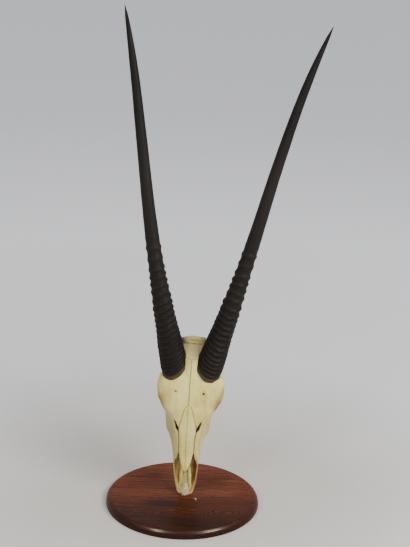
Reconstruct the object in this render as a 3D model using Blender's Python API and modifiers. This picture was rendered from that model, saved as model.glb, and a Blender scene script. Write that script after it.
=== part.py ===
"""Gemsbok skull with both horns, standing nose down on a round wooden board.

World: metres, +Z up, origin at the centre of the board's underside, the face looks along -Y.
The skull, its teeth and its horns are modelled in the skull's own frame and hang on an empty
that leans the whole head: x across the face, y from the face to the back of the head, z from
the nose tip to the crest.
"""

import bmesh
import bpy
import numpy as np
from mathutils import Matrix, Vector

FIT = 0.0004              # gap between pieces that touch
HORN_FIT = 0.0008         # and between a horn and the bone it sits on

# board
BOARD_RADIUS = 0.190
BOARD_THICK = 0.020
BOARD_ROUND = 0.0130      # how far in from the rim the top begins to round over
BOARD_DROP = 0.0140       # and how far down the rounding goes
BOARD_TURNS = (22.0, 45.0, 66.0, 90.0)
BOARD_CHAMFER = 0.0015    # under the rim
BOARD_STEPS = 64

# how the head stands on the board
NOSE_X = 0.0055
LEAN_BACK = np.radians(-6.0)
LEAN_SIDE = np.radians(1.7)
TURN = np.radians(-3.7)

# screws from below
SCREW_X = (-0.0045, 0.0155)
SCREW_Y = 0.0035
SCREW_LENGTH = 0.038
SCREW_RADIUS = 0.0021
SCREW_HEAD = 0.0042
SCREW_LIP = 0.0006        # straight edge of the countersunk head
SCREW_SINK = 0.0010
SCREW_POINT = 0.006       # length that tapers to the tip
SCREW_POINT_RADIUS = 0.0018
SCREW_TIP = 0.0004
SCREW_SIDES = 12

# horns: length from the rim to the tip, base centre, lean to the side along the length
HORN_LENGTH = {"left": 0.872, "right": 0.868}
HORN_BASE = {"left": (-0.0421, -0.018, 0.333), "right": (0.0406, -0.018, 0.333)}
HORN_LEAN = {"left": (14.9, 12.3, 9.0, 9.3, 12.8), "right": (16.8, 14.9, 13.2, 15.9, 22.4)}
HORN_SWEEP = (1.0, 4.0)   # degrees back at the base and at the tip
HORN_AT = (0.0, 0.03, 0.06, 0.10, 0.15, 0.20, 0.28, 0.36, 0.45, 0.55, 0.65, 0.75, 0.85, 0.93, 0.97, 1.0)
HORN_RADIUS = (
    0.0320, 0.0315, 0.0302, 0.0270, 0.0247, 0.0232, 0.0194, 0.0175,
    0.0157, 0.0143, 0.0131, 0.0115, 0.0095, 0.0063, 0.0040, 0.0006,
)
RIM_FRONT_DROP = 0.022    # the rim lies lower in front than behind
RIM_INNER_RISE = 0.0075   # and higher on the side of the midline
RIM_FADE = 0.300          # the rings are square to the horn from here up
RING_COUNT = 15
RING_FIRST, RING_LAST = 0.012, 0.298
RING_HEIGHT = 0.0011
FURROW_SHARE = 0.6        # a furrow is this much of a ring's height deep
RING_SPREAD = 0.38        # how much wider apart the rings get on the way up
UPPER_LEVELS = (0.40, 0.50, 0.60, 0.70, 0.79, 0.87, 0.93, 0.97, 1.0)  # shares of the length
HORN_SIDES = 14
RIM_RADII = (0.0300, 0.0322)  # at the rim's edge and just above it
RIM_HEIGHT = 0.004
CORE_RADIUS = 0.0270
CORE_DEPTH = 0.034
CORE_SHOULDER = 0.006     # where the cup begins to close
CORE_TOP_SHARE = 0.6      # the cup's top as a share of its radius
SEAT_TOP = 0.130          # how far up the bone is cut back round a horn
PEDICLE_RADII = (0.0330, 0.0285, 0.0280)

# upper cheek teeth: name, length along the row, width
TEETH = (
    ("premolar_2", 0.0105, 0.0085), ("premolar_3", 0.0130, 0.0115), ("premolar_4", 0.0125, 0.0135),
    ("molar_1", 0.0165, 0.0155), ("molar_2", 0.0205, 0.0170), ("molar_3", 0.0205, 0.0165),
)
ROW_START = (0.0265, 0.0250, 0.134)   # gum line at the front of the first premolar
ROW_END = (0.0370, 0.0620, 0.224)     # and behind the last molar
CROWN = 0.0120
ROOT = 0.0090
TOOTH_LEVELS = ((-ROOT, 0.86), (0.0, 1.0), (0.75 * CROWN, 1.0), (CROWN, 0.90))  # height, size
TOOTH_OUTLINE = (
    (1.0, 0.55), (0.7, 1.0), (-0.7, 1.0), (-1.0, 0.55),
    (-1.0, -0.55), (-0.7, -1.0), (0.7, -1.0), (1.0, -0.55),
)

# one line for each section of the face and forehead: z, then top edge y, top half width,
# widest half width and its y, bottom half width and its y
FACE = (
    (0.0008, -0.0035, 0.0060, 0.0125, 0.0030, 0.0090, 0.0080),
    (0.0060, -0.0045, 0.0090, 0.0175, 0.0030, 0.0135, 0.0095),
    (0.0170, -0.0065, 0.0120, 0.0228, 0.0030, 0.0170, 0.0110),
    (0.0370, -0.0105, 0.0150, 0.0273, 0.0030, 0.0190, 0.0120),
    (0.0640, -0.0180, 0.0190, 0.0300, 0.0020, 0.0200, 0.0135),
    (0.0850, -0.0260, 0.0210, 0.0318, 0.0020, 0.0205, 0.0150),
    (0.1060, -0.0370, 0.0210, 0.0337, 0.0020, 0.0220, 0.0180),
    (0.1250, -0.0430, 0.0215, 0.0366, 0.0060, 0.0280, 0.0240),
    (0.1450, -0.0450, 0.0225, 0.0430, 0.0140, 0.0330, 0.0320),
    (0.1680, -0.0455, 0.0235, 0.0510, 0.0180, 0.0370, 0.0410),
    (0.1920, -0.0455, 0.0260, 0.0560, 0.0180, 0.0400, 0.0500),
    (0.2160, -0.0458, 0.0330, 0.0570, 0.0120, 0.0420, 0.0590),
    (0.2340, -0.0465, 0.0440, 0.0640, -0.0040, 0.0400, 0.0560),
    (0.2560, -0.0480, 0.0520, 0.0720, -0.0180, 0.0300, 0.0420),
    (0.2800, -0.0490, 0.0560, 0.0770, -0.0240, 0.0280, 0.0440),
    (0.3000, -0.0485, 0.0520, 0.0730, -0.0220, 0.0320, 0.0500),
    (0.3200, -0.0455, 0.0260, 0.0560, -0.0080, 0.0360, 0.0600),
    (0.3440, -0.0390, 0.0120, 0.0460, 0.0100, 0.0380, 0.0700),
    (0.3600, -0.0300, 0.0160, 0.0440, 0.0200, 0.0360, 0.0780),
    (0.3760, -0.0100, 0.0260, 0.0440, 0.0350, 0.0340, 0.0800),
    (0.3880, 0.0100, 0.0280, 0.0420, 0.0420, 0.0280, 0.0740),
)
# the air passage under the nose bones, in the same order, wider than the face where it is open
PASSAGE = (
    (0.0200, -0.0300, 0.0090, 0.0100, -0.0100, 0.0060, 0.0010),
    (0.0370, -0.0400, 0.0200, 0.0205, -0.0120, 0.0110, 0.0020),
    (0.0640, -0.0450, 0.0245, 0.0250, -0.0150, 0.0120, 0.0040),
    (0.0850, -0.0450, 0.0250, 0.0262, -0.0150, 0.0130, 0.0060),
    (0.0980, -0.0400, 0.0200, 0.0270, -0.0150, 0.0150, 0.0080),
    (0.1080, -0.0300, 0.0190, 0.0280, -0.0100, 0.0170, 0.0090),
    (0.1250, -0.0250, 0.0150, 0.0220, -0.0100, 0.0130, 0.0080),
)
REAR_OPENING = (
    (0.2240, 0.0540, 0.0090, 0.0120, 0.0600, 0.0110, 0.0800),
    (0.2500, 0.0480, 0.0090, 0.0120, 0.0560, 0.0110, 0.0900),
)
NOSE_BONE = (
    (0.0730, 0.0015), (0.0850, 0.0080), (0.0990, 0.0135), (0.1220, 0.0186),
    (0.1580, 0.0190), (0.1850, 0.0222), (0.2000, 0.0176), (0.2200, 0.0140), (0.2440, 0.0030),
)
NOSE_BONE_FRONT = -0.0468
NOSE_BONE_PROFILE = (     # share of the half width, depth behind the front
    (-1.0, 0.0040), (-0.55, 0.0008), (0.0, 0.0), (0.55, 0.0008), (1.0, 0.0040),
    (1.0, 0.0090), (0.0, 0.0050), (-1.0, 0.0090),
)
EYE_SOCKET = ((0.068, 0.001, 0.270), (0.034, 0.0200, 0.0215), (0, 0, -12))
RIM_AT = (0.068, 0.002, 0.271)      # the bony rim round the eye socket
RIM_SIZE = (0.0048, 0.026, 0.028)   # how far it flares out in front, and its two radii
RIM_THICK = 0.0075
RIM_STEPS = 10

# swellings of the skull: centre, radii, turn in degrees; one off the midline comes in a pair
SWELLINGS = (
    ((0.0520, -0.024, 0.280), (0.0300, 0.0180, 0.0360), (0, 10, 18)),    # roof over the eye
    ((0.0000, 0.034, 0.335), (0.0450, 0.0440, 0.0540), (-20, 0, 0)),     # brain case
    ((0.0400, 0.050, 0.352), (0.0120, 0.0200, 0.0280), (-30, 0, 0)),     # behind the ear
    ((0.0165, 0.088, 0.364), (0.0110, 0.0150, 0.0140), (20, 0, 15)),     # joint knobs
    ((0.0000, 0.072, 0.372), (0.0220, 0.0180, 0.0200), (0, 0, 0)),       # back of the head
    ((0.0280, 0.082, 0.318), (0.0105, 0.0150, 0.0140), (15, 0, 0)),      # ear capsules
    ((0.0460, 0.020, 0.178), (0.0100, 0.0120, 0.0220), (0, 0, 0)),       # cheek ridge
)
# bars of bone: points, then the radius at each
ARCHES = (                # in pairs
    (((0.050, 0.026, 0.200), (0.059, 0.030, 0.228), (0.065, 0.032, 0.262), (0.064, 0.036, 0.295),
      (0.058, 0.040, 0.322), (0.042, 0.040, 0.340)),
     (0.0100, 0.0105, 0.0075, 0.0070, 0.0080, 0.0100)),                  # cheek arch
    (((0.066, -0.022, 0.296), (0.068, 0.004, 0.300), (0.064, 0.034, 0.300)),
     (0.0085, 0.0065, 0.0070)),                                          # strut behind the eye
    (((0.038, 0.066, 0.346), (0.039, 0.092, 0.340), (0.037, 0.114, 0.330)),
     (0.0100, 0.0065, 0.0035)),                                          # spurs beside the joint
    (((0.030, 0.062, 0.330), (0.050, 0.056, 0.338)), (0.0080, 0.0060)),  # ear tubes
    (((0.0150, 0.050, 0.225), (0.0155, 0.064, 0.246), (0.0160, 0.074, 0.266)),
     (0.0055, 0.0045, 0.0060)),                                          # wings of the palate
)
KEELS = (                 # across or along the midline
    (((-0.036, 0.032, 0.382), (-0.026, 0.016, 0.396), (0.0, 0.011, 0.399), (0.026, 0.016, 0.396),
      (0.036, 0.032, 0.382)), (0.0060, 0.0065, 0.0070, 0.0065, 0.0060)), # crest
    (((0.0, 0.060, 0.262), (0.0, 0.076, 0.310), (0.0, 0.084, 0.352)),
     (0.0110, 0.0140, 0.0140)),                                          # floor of the skull
)

# plaster between the tips of the jaws: height and half width, and the outline of each level
PLUG_LEVELS = ((0.0008, 0.0068), (0.008, 0.0070), (0.018, 0.0060), (0.026, 0.0030))
PLUG_FLAT = 0.8           # its depth as a share of its width
PLUG_OUTLINE = (
    (1.0, 0.0), (0.7, 0.7), (0.0, 1.0), (-0.7, 0.7),
    (-1.0, 0.0), (-0.7, -0.7), (0.0, -1.0), (0.7, -0.7),
)

VOXEL = 0.0030
SKULL_RATIO = 0.053


def clear_scene():
    for item in list(bpy.data.objects):
        bpy.data.objects.remove(item, do_unlink=True)


def collection(name):
    made = bpy.data.collections.new(name)
    bpy.context.scene.collection.children.link(made)
    return made


def material(name, colour, roughness, metallic=0.0):
    made = bpy.data.materials.new(name)
    made.use_nodes = True
    shader = made.node_tree.nodes["Principled BSDF"]
    shader.inputs["Base Color"].default_value = (*colour, 1.0)
    shader.inputs["Roughness"].default_value = roughness
    shader.inputs["Metallic"].default_value = metallic
    made.diffuse_color = (*colour, 1.0)
    return made


def add_object(name, mesh, group, look=None, parent=None):
    item = bpy.data.objects.new(name, mesh)
    group.objects.link(item)
    if look is not None:
        mesh.materials.append(look)
    if parent is not None:
        item.parent = parent
    return item


def add_bmesh(name, bm, group, look=None, parent=None):
    bmesh.ops.recalc_face_normals(bm, faces=bm.faces)
    mesh = bpy.data.meshes.new(name)
    bm.to_mesh(mesh)
    bm.free()
    return add_object(name, mesh, group, look, parent)


def shade(item, degrees=35.0):
    item.data.shade_smooth()
    item.data.set_sharp_from_angle(angle=np.radians(degrees))


def hide_cutter(item):
    item.hide_render = True
    item.display_type = "WIRE"


def cut(item, cutter, operation="DIFFERENCE"):
    boolean = item.modifiers.new(f"{operation.lower()} {cutter.name}", "BOOLEAN")
    boolean.operation = operation
    boolean.solver = "EXACT"
    boolean.object = cutter


def loft(bm, rings):
    """Skins a list of rings of points, all of one length, and closes both ends."""
    rows = [[bm.verts.new(p) for p in ring] for ring in rings]
    count = len(rows[0])
    for low, high in zip(rows, rows[1:]):
        for i in range(count):
            j = (i + 1) % count
            bm.faces.new((low[i], low[j], high[j], high[i]))
    bm.faces.new(rows[0][::-1])
    bm.faces.new(rows[-1])


def section(row):
    """A ring of eleven points across the face, from one line of FACE, PASSAGE or REAR_OPENING."""
    z, top, top_half, wide_half, wide, low_half, low = row
    crown = 0.05 * top_half
    half = ((top_half, top), (wide_half * 0.86, (top + wide * 2) / 3), (wide_half, wide))
    half += ((low_half, low), (low_half * 0.45, low))
    right = [Vector((x, y, z)) for x, y in half]
    left = [Vector((-x, y, z)) for x, y in reversed(half)]
    return [Vector((0.0, top - crown, z))] + right + left


def blob(bm, centre, radii, turn=(0.0, 0.0, 0.0), segments=20):
    """An ellipsoid on both sides of the midline, or one on it."""
    for side in (1.0, -1.0) if centre[0] else (1.0,):
        place = Matrix.Translation((centre[0] * side, centre[1], centre[2]))
        for axis, angle in zip("XYZ", turn):
            sign = 1.0 if axis == "X" else side
            place = place @ Matrix.Rotation(np.radians(angle) * sign, 4, axis)
        place = place @ Matrix.Diagonal((*radii, 1.0))
        rows = segments // 2
        bmesh.ops.create_uvsphere(bm, u_segments=segments, v_segments=rows, radius=1.0, matrix=place)


def rod(bm, points, radii, sides=12, mirror=True):
    """A bar with a round section that follows the points, on both sides of the midline."""
    for side in (1.0, -1.0) if mirror else (1.0,):
        path = [Vector((p[0] * side, p[1], p[2])) for p in points]
        rings = []
        for i, at in enumerate(path):
            along = (path[min(i + 1, len(path) - 1)] - path[max(i - 1, 0)]).normalized()
            across = along.orthogonal().normalized()
            if rings:
                across = (last - along * last.dot(along)).normalized()
            last = across
            other = along.cross(across)
            angles = [2 * np.pi * k / sides for k in range(sides)]
            rings.append([at + (across * np.cos(a) + other * np.sin(a)) * radii[i] for a in angles])
        loft(bm, rings)


def horn_axis(side, steps=200):
    """Points and directions along a horn's middle, in the skull's frame."""
    along = np.linspace(0.0, 1.0, steps + 1)
    lean = np.radians(np.interp(along, np.linspace(0.0, 1.0, 5), HORN_LEAN[side]))
    sweep = np.radians(np.interp(along, (0.0, 1.0), HORN_SWEEP))
    sign = -1.0 if side == "left" else 1.0
    heading = np.stack((sign * np.sin(lean), np.cos(lean) * np.sin(sweep), np.cos(lean) * np.cos(sweep)), 1)
    step = HORN_LENGTH[side] / steps
    moved = np.cumsum((heading[1:] + heading[:-1]) * 0.5 * step, axis=0)
    points = np.array(HORN_BASE[side]) + np.vstack((np.zeros(3), moved))
    return along, points, heading


def horn_point(side, distance, angle, radius):
    """A point on the horn: distance up from the rim, angle round it from the front, radius."""
    sign = -1.0 if side == "left" else 1.0
    fade = max(0.0, 1.0 - max(distance, 0.0) / RIM_FADE)
    rise = -RIM_FRONT_DROP * np.cos(angle) - RIM_INNER_RISE * np.sin(angle) * sign
    at = (distance + rise * fade) / HORN_LENGTH[side]
    along, points, heading = horn_axis(side)
    if at < 0.0:
        middle = points[0] + heading[0] * at * HORN_LENGTH[side]
    else:
        middle = np.array([np.interp(at, along, points[:, k]) for k in range(3)])
    way = np.array([np.interp(at, along, heading[:, k]) for k in range(3)])
    way /= np.linalg.norm(way)
    right = np.cross((0.0, 1.0, 0.0), way)
    right /= np.linalg.norm(right)
    front = np.cross(right, way)
    front *= -np.sign(front[1])
    return Vector(middle + radius * (np.cos(angle) * front + np.sin(angle) * right))


def horn_radius(side, distance):
    return float(np.interp(distance / HORN_LENGTH[side], HORN_AT, HORN_RADIUS))


def ring_levels():
    """Distances of the furrows and ridges: the ridges stand closer together near the base."""
    share = np.linspace(0.0, 1.0, 2 * RING_COUNT + 1)
    return RING_FIRST + (RING_LAST - RING_FIRST) * (share + RING_SPREAD * (share**2 - share))


def horn_rings(side, grow, top):
    """Rings of points over the sheath, from inside its cup, round the rim and up to the tip."""
    angles = [2 * np.pi * k / HORN_SIDES for k in range(HORN_SIDES)]

    def ring(distance, radius):
        return [horn_point(side, distance, a, radius) for a in angles]

    cup = CORE_DEPTH - 4 * grow
    rings = [ring(cup, (CORE_RADIUS - grow) * CORE_TOP_SHARE)]
    rings.append(ring(cup - CORE_SHOULDER, CORE_RADIUS - grow))
    rings.append(ring(-grow, CORE_RADIUS - grow))
    rings.append(ring(-grow, RIM_RADII[0] + grow))
    rings.append(ring(RIM_HEIGHT, RIM_RADII[1] + grow))
    for i, distance in enumerate(ring_levels()):
        lift = RING_HEIGHT if i % 2 else -RING_HEIGHT * FURROW_SHARE
        if distance < top:
            rings.append(ring(distance, horn_radius(side, distance) + lift + grow))
    for share in UPPER_LEVELS:
        distance = share * HORN_LENGTH[side]
        if distance < top:
            rings.append(ring(distance, horn_radius(side, distance) + grow))
    return rings


def make_board(parts, cutters, wood, steel):
    bm = bmesh.new()
    r, t, w = BOARD_RADIUS, BOARD_THICK, BOARD_ROUND
    profile = [(0.0, t), (r - w, t)]
    for a in np.radians(BOARD_TURNS):
        profile.append((r - w + w * np.sin(a), t - BOARD_DROP * (1.0 - np.cos(a))))
    profile += [(r, BOARD_CHAMFER), (r - BOARD_CHAMFER, 0.0), (0.0, 0.0)]
    points = [bm.verts.new((x, 0.0, z)) for x, z in profile]
    for a, b in zip(points, points[1:]):
        bm.edges.new((a, b))
    mesh = bpy.data.meshes.new("base_board")
    bm.to_mesh(mesh)
    bm.free()
    board = add_object("base_board", mesh, parts, wood)
    screw = board.modifiers.new("turned", "SCREW")
    screw.steps = BOARD_STEPS
    screw.render_steps = BOARD_STEPS
    screw.use_merge_vertices = True
    screw.merge_threshold = 0.0001
    holes = []
    for name, x in zip(("screw_left", "screw_right"), SCREW_X):
        make_screw(name, x, 0.0, parts, steel)
        hole = make_screw(f"hole for {name}", x, FIT, cutters, None)
        hide_cutter(hole)
        cut(board, hole)
        holes.append(hole)
    board.modifiers.new("even shading", "WEIGHTED_NORMAL")
    return holes


def make_screw(name, x, grow, group, look):
    """A countersunk wood screw, or with grow the hole that clears it."""
    neck = SCREW_SINK + SCREW_HEAD - SCREW_RADIUS
    tip = SCREW_SINK + SCREW_LENGTH
    foot = -SCREW_SINK if grow else SCREW_SINK
    levels = [(foot, SCREW_HEAD), (SCREW_SINK + SCREW_LIP, SCREW_HEAD), (neck, SCREW_RADIUS)]
    levels += [(tip - SCREW_POINT, SCREW_POINT_RADIUS), (tip + grow, SCREW_TIP)]
    angles = [2 * np.pi * k / SCREW_SIDES for k in range(SCREW_SIDES)]
    rings = []
    for z, radius in levels:
        wide = radius + grow
        rings.append([Vector((wide * np.cos(a), wide * np.sin(a), z)) for a in angles])
    bm = bmesh.new()
    loft(bm, rings)
    item = add_bmesh(name, bm, group, look)
    item.location = (x, SCREW_Y, 0.0)
    shade(item)
    return item


def tooth_frame():
    """The row's direction and the direction in which the crowns stand out."""
    start, end = Vector(ROW_START), Vector(ROW_END)
    along = (end - start).normalized()
    out = Vector((0.0, 1.0, 0.0))
    out = (out - along * out.dot(along)).normalized()
    return start, along, out, along.cross(out)


def tooth_box(bm, start, length, width, grow, side):
    """A tapered block with chamfered corners, from its roots to its crown."""
    _, along, out, across = tooth_frame()
    rings = []
    for height, size in TOOTH_LEVELS:
        a, b = length / 2 * size + grow, width / 2 * size + grow
        lift = height + grow * (height == CROWN) - grow * (height == -ROOT)
        middle = start + along * (length / 2) + out * lift
        ring = [middle + along * a * u + across * b * v for u, v in TOOTH_OUTLINE]
        rings.append([Vector((p.x * side, p.y, p.z)) for p in ring])
    loft(bm, rings)


def make_teeth(parts, cutters, skull, enamel, head):
    start, along, _, _ = tooth_frame()
    total = sum(length for _, length, _ in TEETH)
    spread = ((Vector(ROW_END) - start).length - total) / (len(TEETH) - 1)
    for side, sign in (("left", -1.0), ("right", 1.0)):
        at = start.copy()
        for name, length, width in TEETH:
            bm = bmesh.new()
            tooth_box(bm, at, length, width, 0.0, sign)
            shade(add_bmesh(f"{name}_{side}", bm, parts, enamel, head))
            bm = bmesh.new()
            tooth_box(bm, at, length, width, FIT, sign)
            socket = add_bmesh(f"socket {name} {side}", bm, cutters, None, head)
            hide_cutter(socket)
            cut(skull, socket)
            at = at + along * (length + spread)


def make_skull(parts, cutters, bone, head):
    bm = bmesh.new()
    loft(bm, [section(row) for row in FACE])
    for centre, radii, turn in SWELLINGS:
        blob(bm, centre, radii, turn)
    rim = []
    for step in range(RIM_STEPS + 2):
        a = 2 * np.pi * step / RIM_STEPS
        out, deep, tall = RIM_AT
        flare, across, upright = RIM_SIZE
        rim.append((out - flare * np.sin(a), deep - across * np.sin(a), tall + upright * np.cos(a)))
    rod(bm, rim, [RIM_THICK] * len(rim))
    for points, radii in ARCHES:
        rod(bm, points, radii)
    for points, radii in KEELS:
        rod(bm, points, radii, mirror=False)
    for side in ("left", "right"):
        points = horn_axis(side)[1]
        foot = points[0] - (points[20] - points[0]) * 0.45
        rod(bm, (foot, points[0], points[5]), PEDICLE_RADII, 20, mirror=False)
    skull = add_bmesh("skull", bm, parts, bone, head)
    remesh = skull.modifiers.new("grown together", "REMESH")
    remesh.mode = "VOXEL"
    remesh.voxel_size = VOXEL
    remesh.use_smooth_shade = True
    smooth = skull.modifiers.new("softened", "SMOOTH")
    smooth.factor = 0.5
    smooth.iterations = 3
    thin = skull.modifiers.new("thinned", "DECIMATE")
    thin.ratio = SKULL_RATIO

    def cutter(name, shape, operation="DIFFERENCE"):
        item = add_bmesh(name, shape, cutters, None, head)
        hide_cutter(item)
        cut(skull, item, operation)

    for name, rows in (("air passage", PASSAGE), ("rear opening", REAR_OPENING)):
        shape = bmesh.new()
        loft(shape, [section(row) for row in rows])
        cutter(name, shape)
    shape = bmesh.new()
    loft(shape, [[(u * half, NOSE_BONE_FRONT + depth, z) for u, depth in NOSE_BONE_PROFILE]
                 for z, half in NOSE_BONE])
    cutter("nose bones", shape, "UNION")
    shape = bmesh.new()
    blob(shape, *EYE_SOCKET, 14)
    cutter("eye sockets", shape)
    return skull


def make_plug(name, grow, group, look, head):
    """The lump of plaster between the jaws, or with grow the seat that it fills."""
    first, last = PLUG_LEVELS[0], PLUG_LEVELS[-1]
    rings = []
    for level in PLUG_LEVELS:
        z = level[0] + grow * (level is last) - grow * (level is first)
        wide, deep = level[1] + grow, level[1] * PLUG_FLAT + grow
        rings.append([Vector((x * wide, y * deep, z)) for x, y in PLUG_OUTLINE])
    bm = bmesh.new()
    loft(bm, rings)
    return add_bmesh(name, bm, group, look, head)


def main():
    clear_scene()
    parts = collection("gemsbok skull on stand")
    cutters = collection("cutters")
    wood = material("varnished wood", (0.150, 0.040, 0.022), 0.28)
    steel = material("zinc plated steel", (0.60, 0.60, 0.58), 0.35, 1.0)
    bone = material("bleached bone", (0.70, 0.64, 0.46), 0.55)
    horn = material("horn", (0.022, 0.017, 0.014), 0.42)
    enamel = material("tooth enamel", (0.62, 0.55, 0.40), 0.35)
    plaster = material("plaster", (0.78, 0.76, 0.70), 0.80)
    head = bpy.data.objects.new("head", None)
    parts.objects.link(head)
    head.location = (NOSE_X, 0.0, BOARD_THICK)
    head.rotation_mode = "ZYX"
    head.rotation_euler = (LEAN_BACK, LEAN_SIDE, TURN)
    holes = make_board(parts, cutters, wood, steel)
    skull = make_skull(parts, cutters, bone, head)
    for hole in holes:
        cut(skull, hole)
    for side in ("left", "right"):
        bm = bmesh.new()
        loft(bm, horn_rings(side, 0.0, 2 * HORN_LENGTH[side]))
        shade(add_bmesh(f"horn_sheath_{side}", bm, parts, horn, head), 50.0)
        bm = bmesh.new()
        loft(bm, horn_rings(side, HORN_FIT, SEAT_TOP))
        seat = add_bmesh(f"seat of horn {side}", bm, cutters, None, head)
        hide_cutter(seat)
        cut(skull, seat)
    make_teeth(parts, cutters, skull, enamel, head)
    make_plug("plaster_plug", 0.0, parts, plaster, head)
    seat = make_plug("seat of plaster", FIT, cutters, None, head)
    hide_cutter(seat)
    cut(skull, seat)


main()
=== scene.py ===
"""A gemsbok's skull and horns on a round varnished board, put together from the board up."""

import bpy
import numpy as np
from mathutils import Matrix


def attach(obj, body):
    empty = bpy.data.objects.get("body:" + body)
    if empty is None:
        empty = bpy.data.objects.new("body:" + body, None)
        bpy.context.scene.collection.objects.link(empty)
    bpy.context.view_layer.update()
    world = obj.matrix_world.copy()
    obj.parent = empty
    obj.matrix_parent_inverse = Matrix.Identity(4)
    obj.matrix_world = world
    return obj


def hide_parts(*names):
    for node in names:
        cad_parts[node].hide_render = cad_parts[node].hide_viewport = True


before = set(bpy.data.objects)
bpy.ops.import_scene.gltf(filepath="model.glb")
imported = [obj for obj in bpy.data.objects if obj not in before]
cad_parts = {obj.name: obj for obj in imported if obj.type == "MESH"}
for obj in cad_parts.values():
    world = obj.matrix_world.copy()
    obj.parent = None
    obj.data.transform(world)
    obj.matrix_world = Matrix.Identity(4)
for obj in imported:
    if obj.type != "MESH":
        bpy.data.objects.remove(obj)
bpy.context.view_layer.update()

# CAMERA --------------------------------------------------------------------------------
# It stands 2.8 m in front of the board and looks down on it, tipped a little to one side.
CAMERA_AT = (0.03913, -2.79001, 1.48031)
LOOK_DOWN, TIP = np.radians(17.5), np.radians(1.8)
LENS, SENSOR_HEIGHT = 81.6, 36.0  # mm

look = np.array((0.0, np.cos(LOOK_DOWN), -np.sin(LOOK_DOWN)))
level = np.array((1.0, 0.0, 0.0))
upward = np.cross(level, look)
across = level * np.cos(TIP) + upward * np.sin(TIP)
upward = upward * np.cos(TIP) - level * np.sin(TIP)
place = np.identity(4)
place[:3] = np.stack((across, upward, -look, CAMERA_AT), 1)
lens = bpy.data.cameras.new("camera")
lens.sensor_fit = "VERTICAL"
lens.sensor_height = SENSOR_HEIGHT
lens.lens = LENS
camera = bpy.data.objects.new("camera", lens)
camera.matrix_world = Matrix(place)
bpy.context.scene.collection.objects.link(camera)
bpy.context.scene.camera = camera


# BOARD ---------------------------------------------------------------------------------
# A round board of reddish brown hardwood, flat sawn, turned with a rounded upper edge and
# finished with gloss varnish. The skull is screwed to it from below.
BOARD_RADIUS, BOARD_THICK = 190.0, 20.0  # mm, as every size from here on
BOARD_EDGE = 13.0  # how far in from the rim the top begins to round over
BOARD_EDGE_DROP = 14.0  # and how far down the rounding goes
BOARD_FOOT = 1.5  # radius of the small rounding under the rim
HEART_AT = (101.0, -89.0)  # where the growth rings come up to the face in long ovals
HEART_DEPTH = 6.0
HEART_RUN = 11.0  # over this length the rings dip one millimetre, over twice it four
HEART_DIP = 34.0  # the most that they dip
RING_WIDTH = 3.0
OVAL_WIDTH = 6.0  # between the light ovals round the heart
DARK_AT, DARK_SIZE = (-47.0, -50.0, 20.0), (62.0, 26.0, 30.0)  # a patch of darker heartwood
BOARD_STEPS = 192


def tube_faces(rows, columns):
    """Faces of a grid that closes round each row, with one pole point before the first row
    and one after the last: quads between rows and a fan of triangles at each pole."""
    near = 1 + np.arange(rows * columns).reshape(rows, columns)
    beside = np.roll(near, -1, 1)
    quads = np.stack((near[:-1], beside[:-1], beside[1:], near[1:]), -1).reshape(-1, 4)
    last = rows * columns + 1
    first_fan = np.stack((np.zeros(columns, int), beside[0], near[0]), 1)
    last_fan = np.stack((np.full(columns, last), near[-1], beside[-1]), 1)
    return quads.tolist() + first_fan.tolist() + last_fan.tolist()


def piece(name, points, faces, material):
    """A smooth mesh from points in millimetres, fixed to the one body."""
    mesh = bpy.data.meshes.new(name)
    mesh.from_pydata(points / 1000, [], faces)
    mesh.shade_smooth()
    mesh.materials.append(material)
    made = bpy.data.objects.new(name, mesh)
    bpy.context.scene.collection.objects.link(made)
    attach(made, "root")
    return made


def linear(code):
    """A colour from its sRGB hex value: each channel through the sRGB curve, alpha 1."""
    channel = np.array([int(code[i:i + 2], 16) for i in (1, 3, 5)]) / 255
    low, high = channel / 12.92, ((channel + 0.055) / 1.055) ** 2.4
    return (*np.where(channel <= 0.04045, low, high), 1.0)


def finish(name):
    """A new material's node tree and its surface shader."""
    made = bpy.data.materials.new(name)
    made.use_nodes = True
    return made, made.node_tree, made.node_tree.nodes["Principled BSDF"]


def node(tree, kind, sockets, ramp=(), **settings):
    """Adds a node: settings are its properties, sockets its inputs by name or number, each a
    value or the output that feeds it, and ramp its colour stops. Gives its first output."""
    made = tree.nodes.new("ShaderNode" + kind)
    for name, value in settings.items():
        setattr(made, name, value)
    for name, value in sockets.items():
        used = [s for i, s in enumerate(made.inputs) if s.enabled and name in (i, s.name)][0]
        if isinstance(value, bpy.types.NodeSocket):
            tree.links.new(value, used)
        else:
            used.default_value = value
    for i, (at, colour) in enumerate(ramp):
        stop = made.color_ramp.elements[i] if i < 2 else made.color_ramp.elements.new(at)
        stop.position = at
        stop.color = colour
    return [out for out in made.outputs if out.enabled][0]


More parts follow.
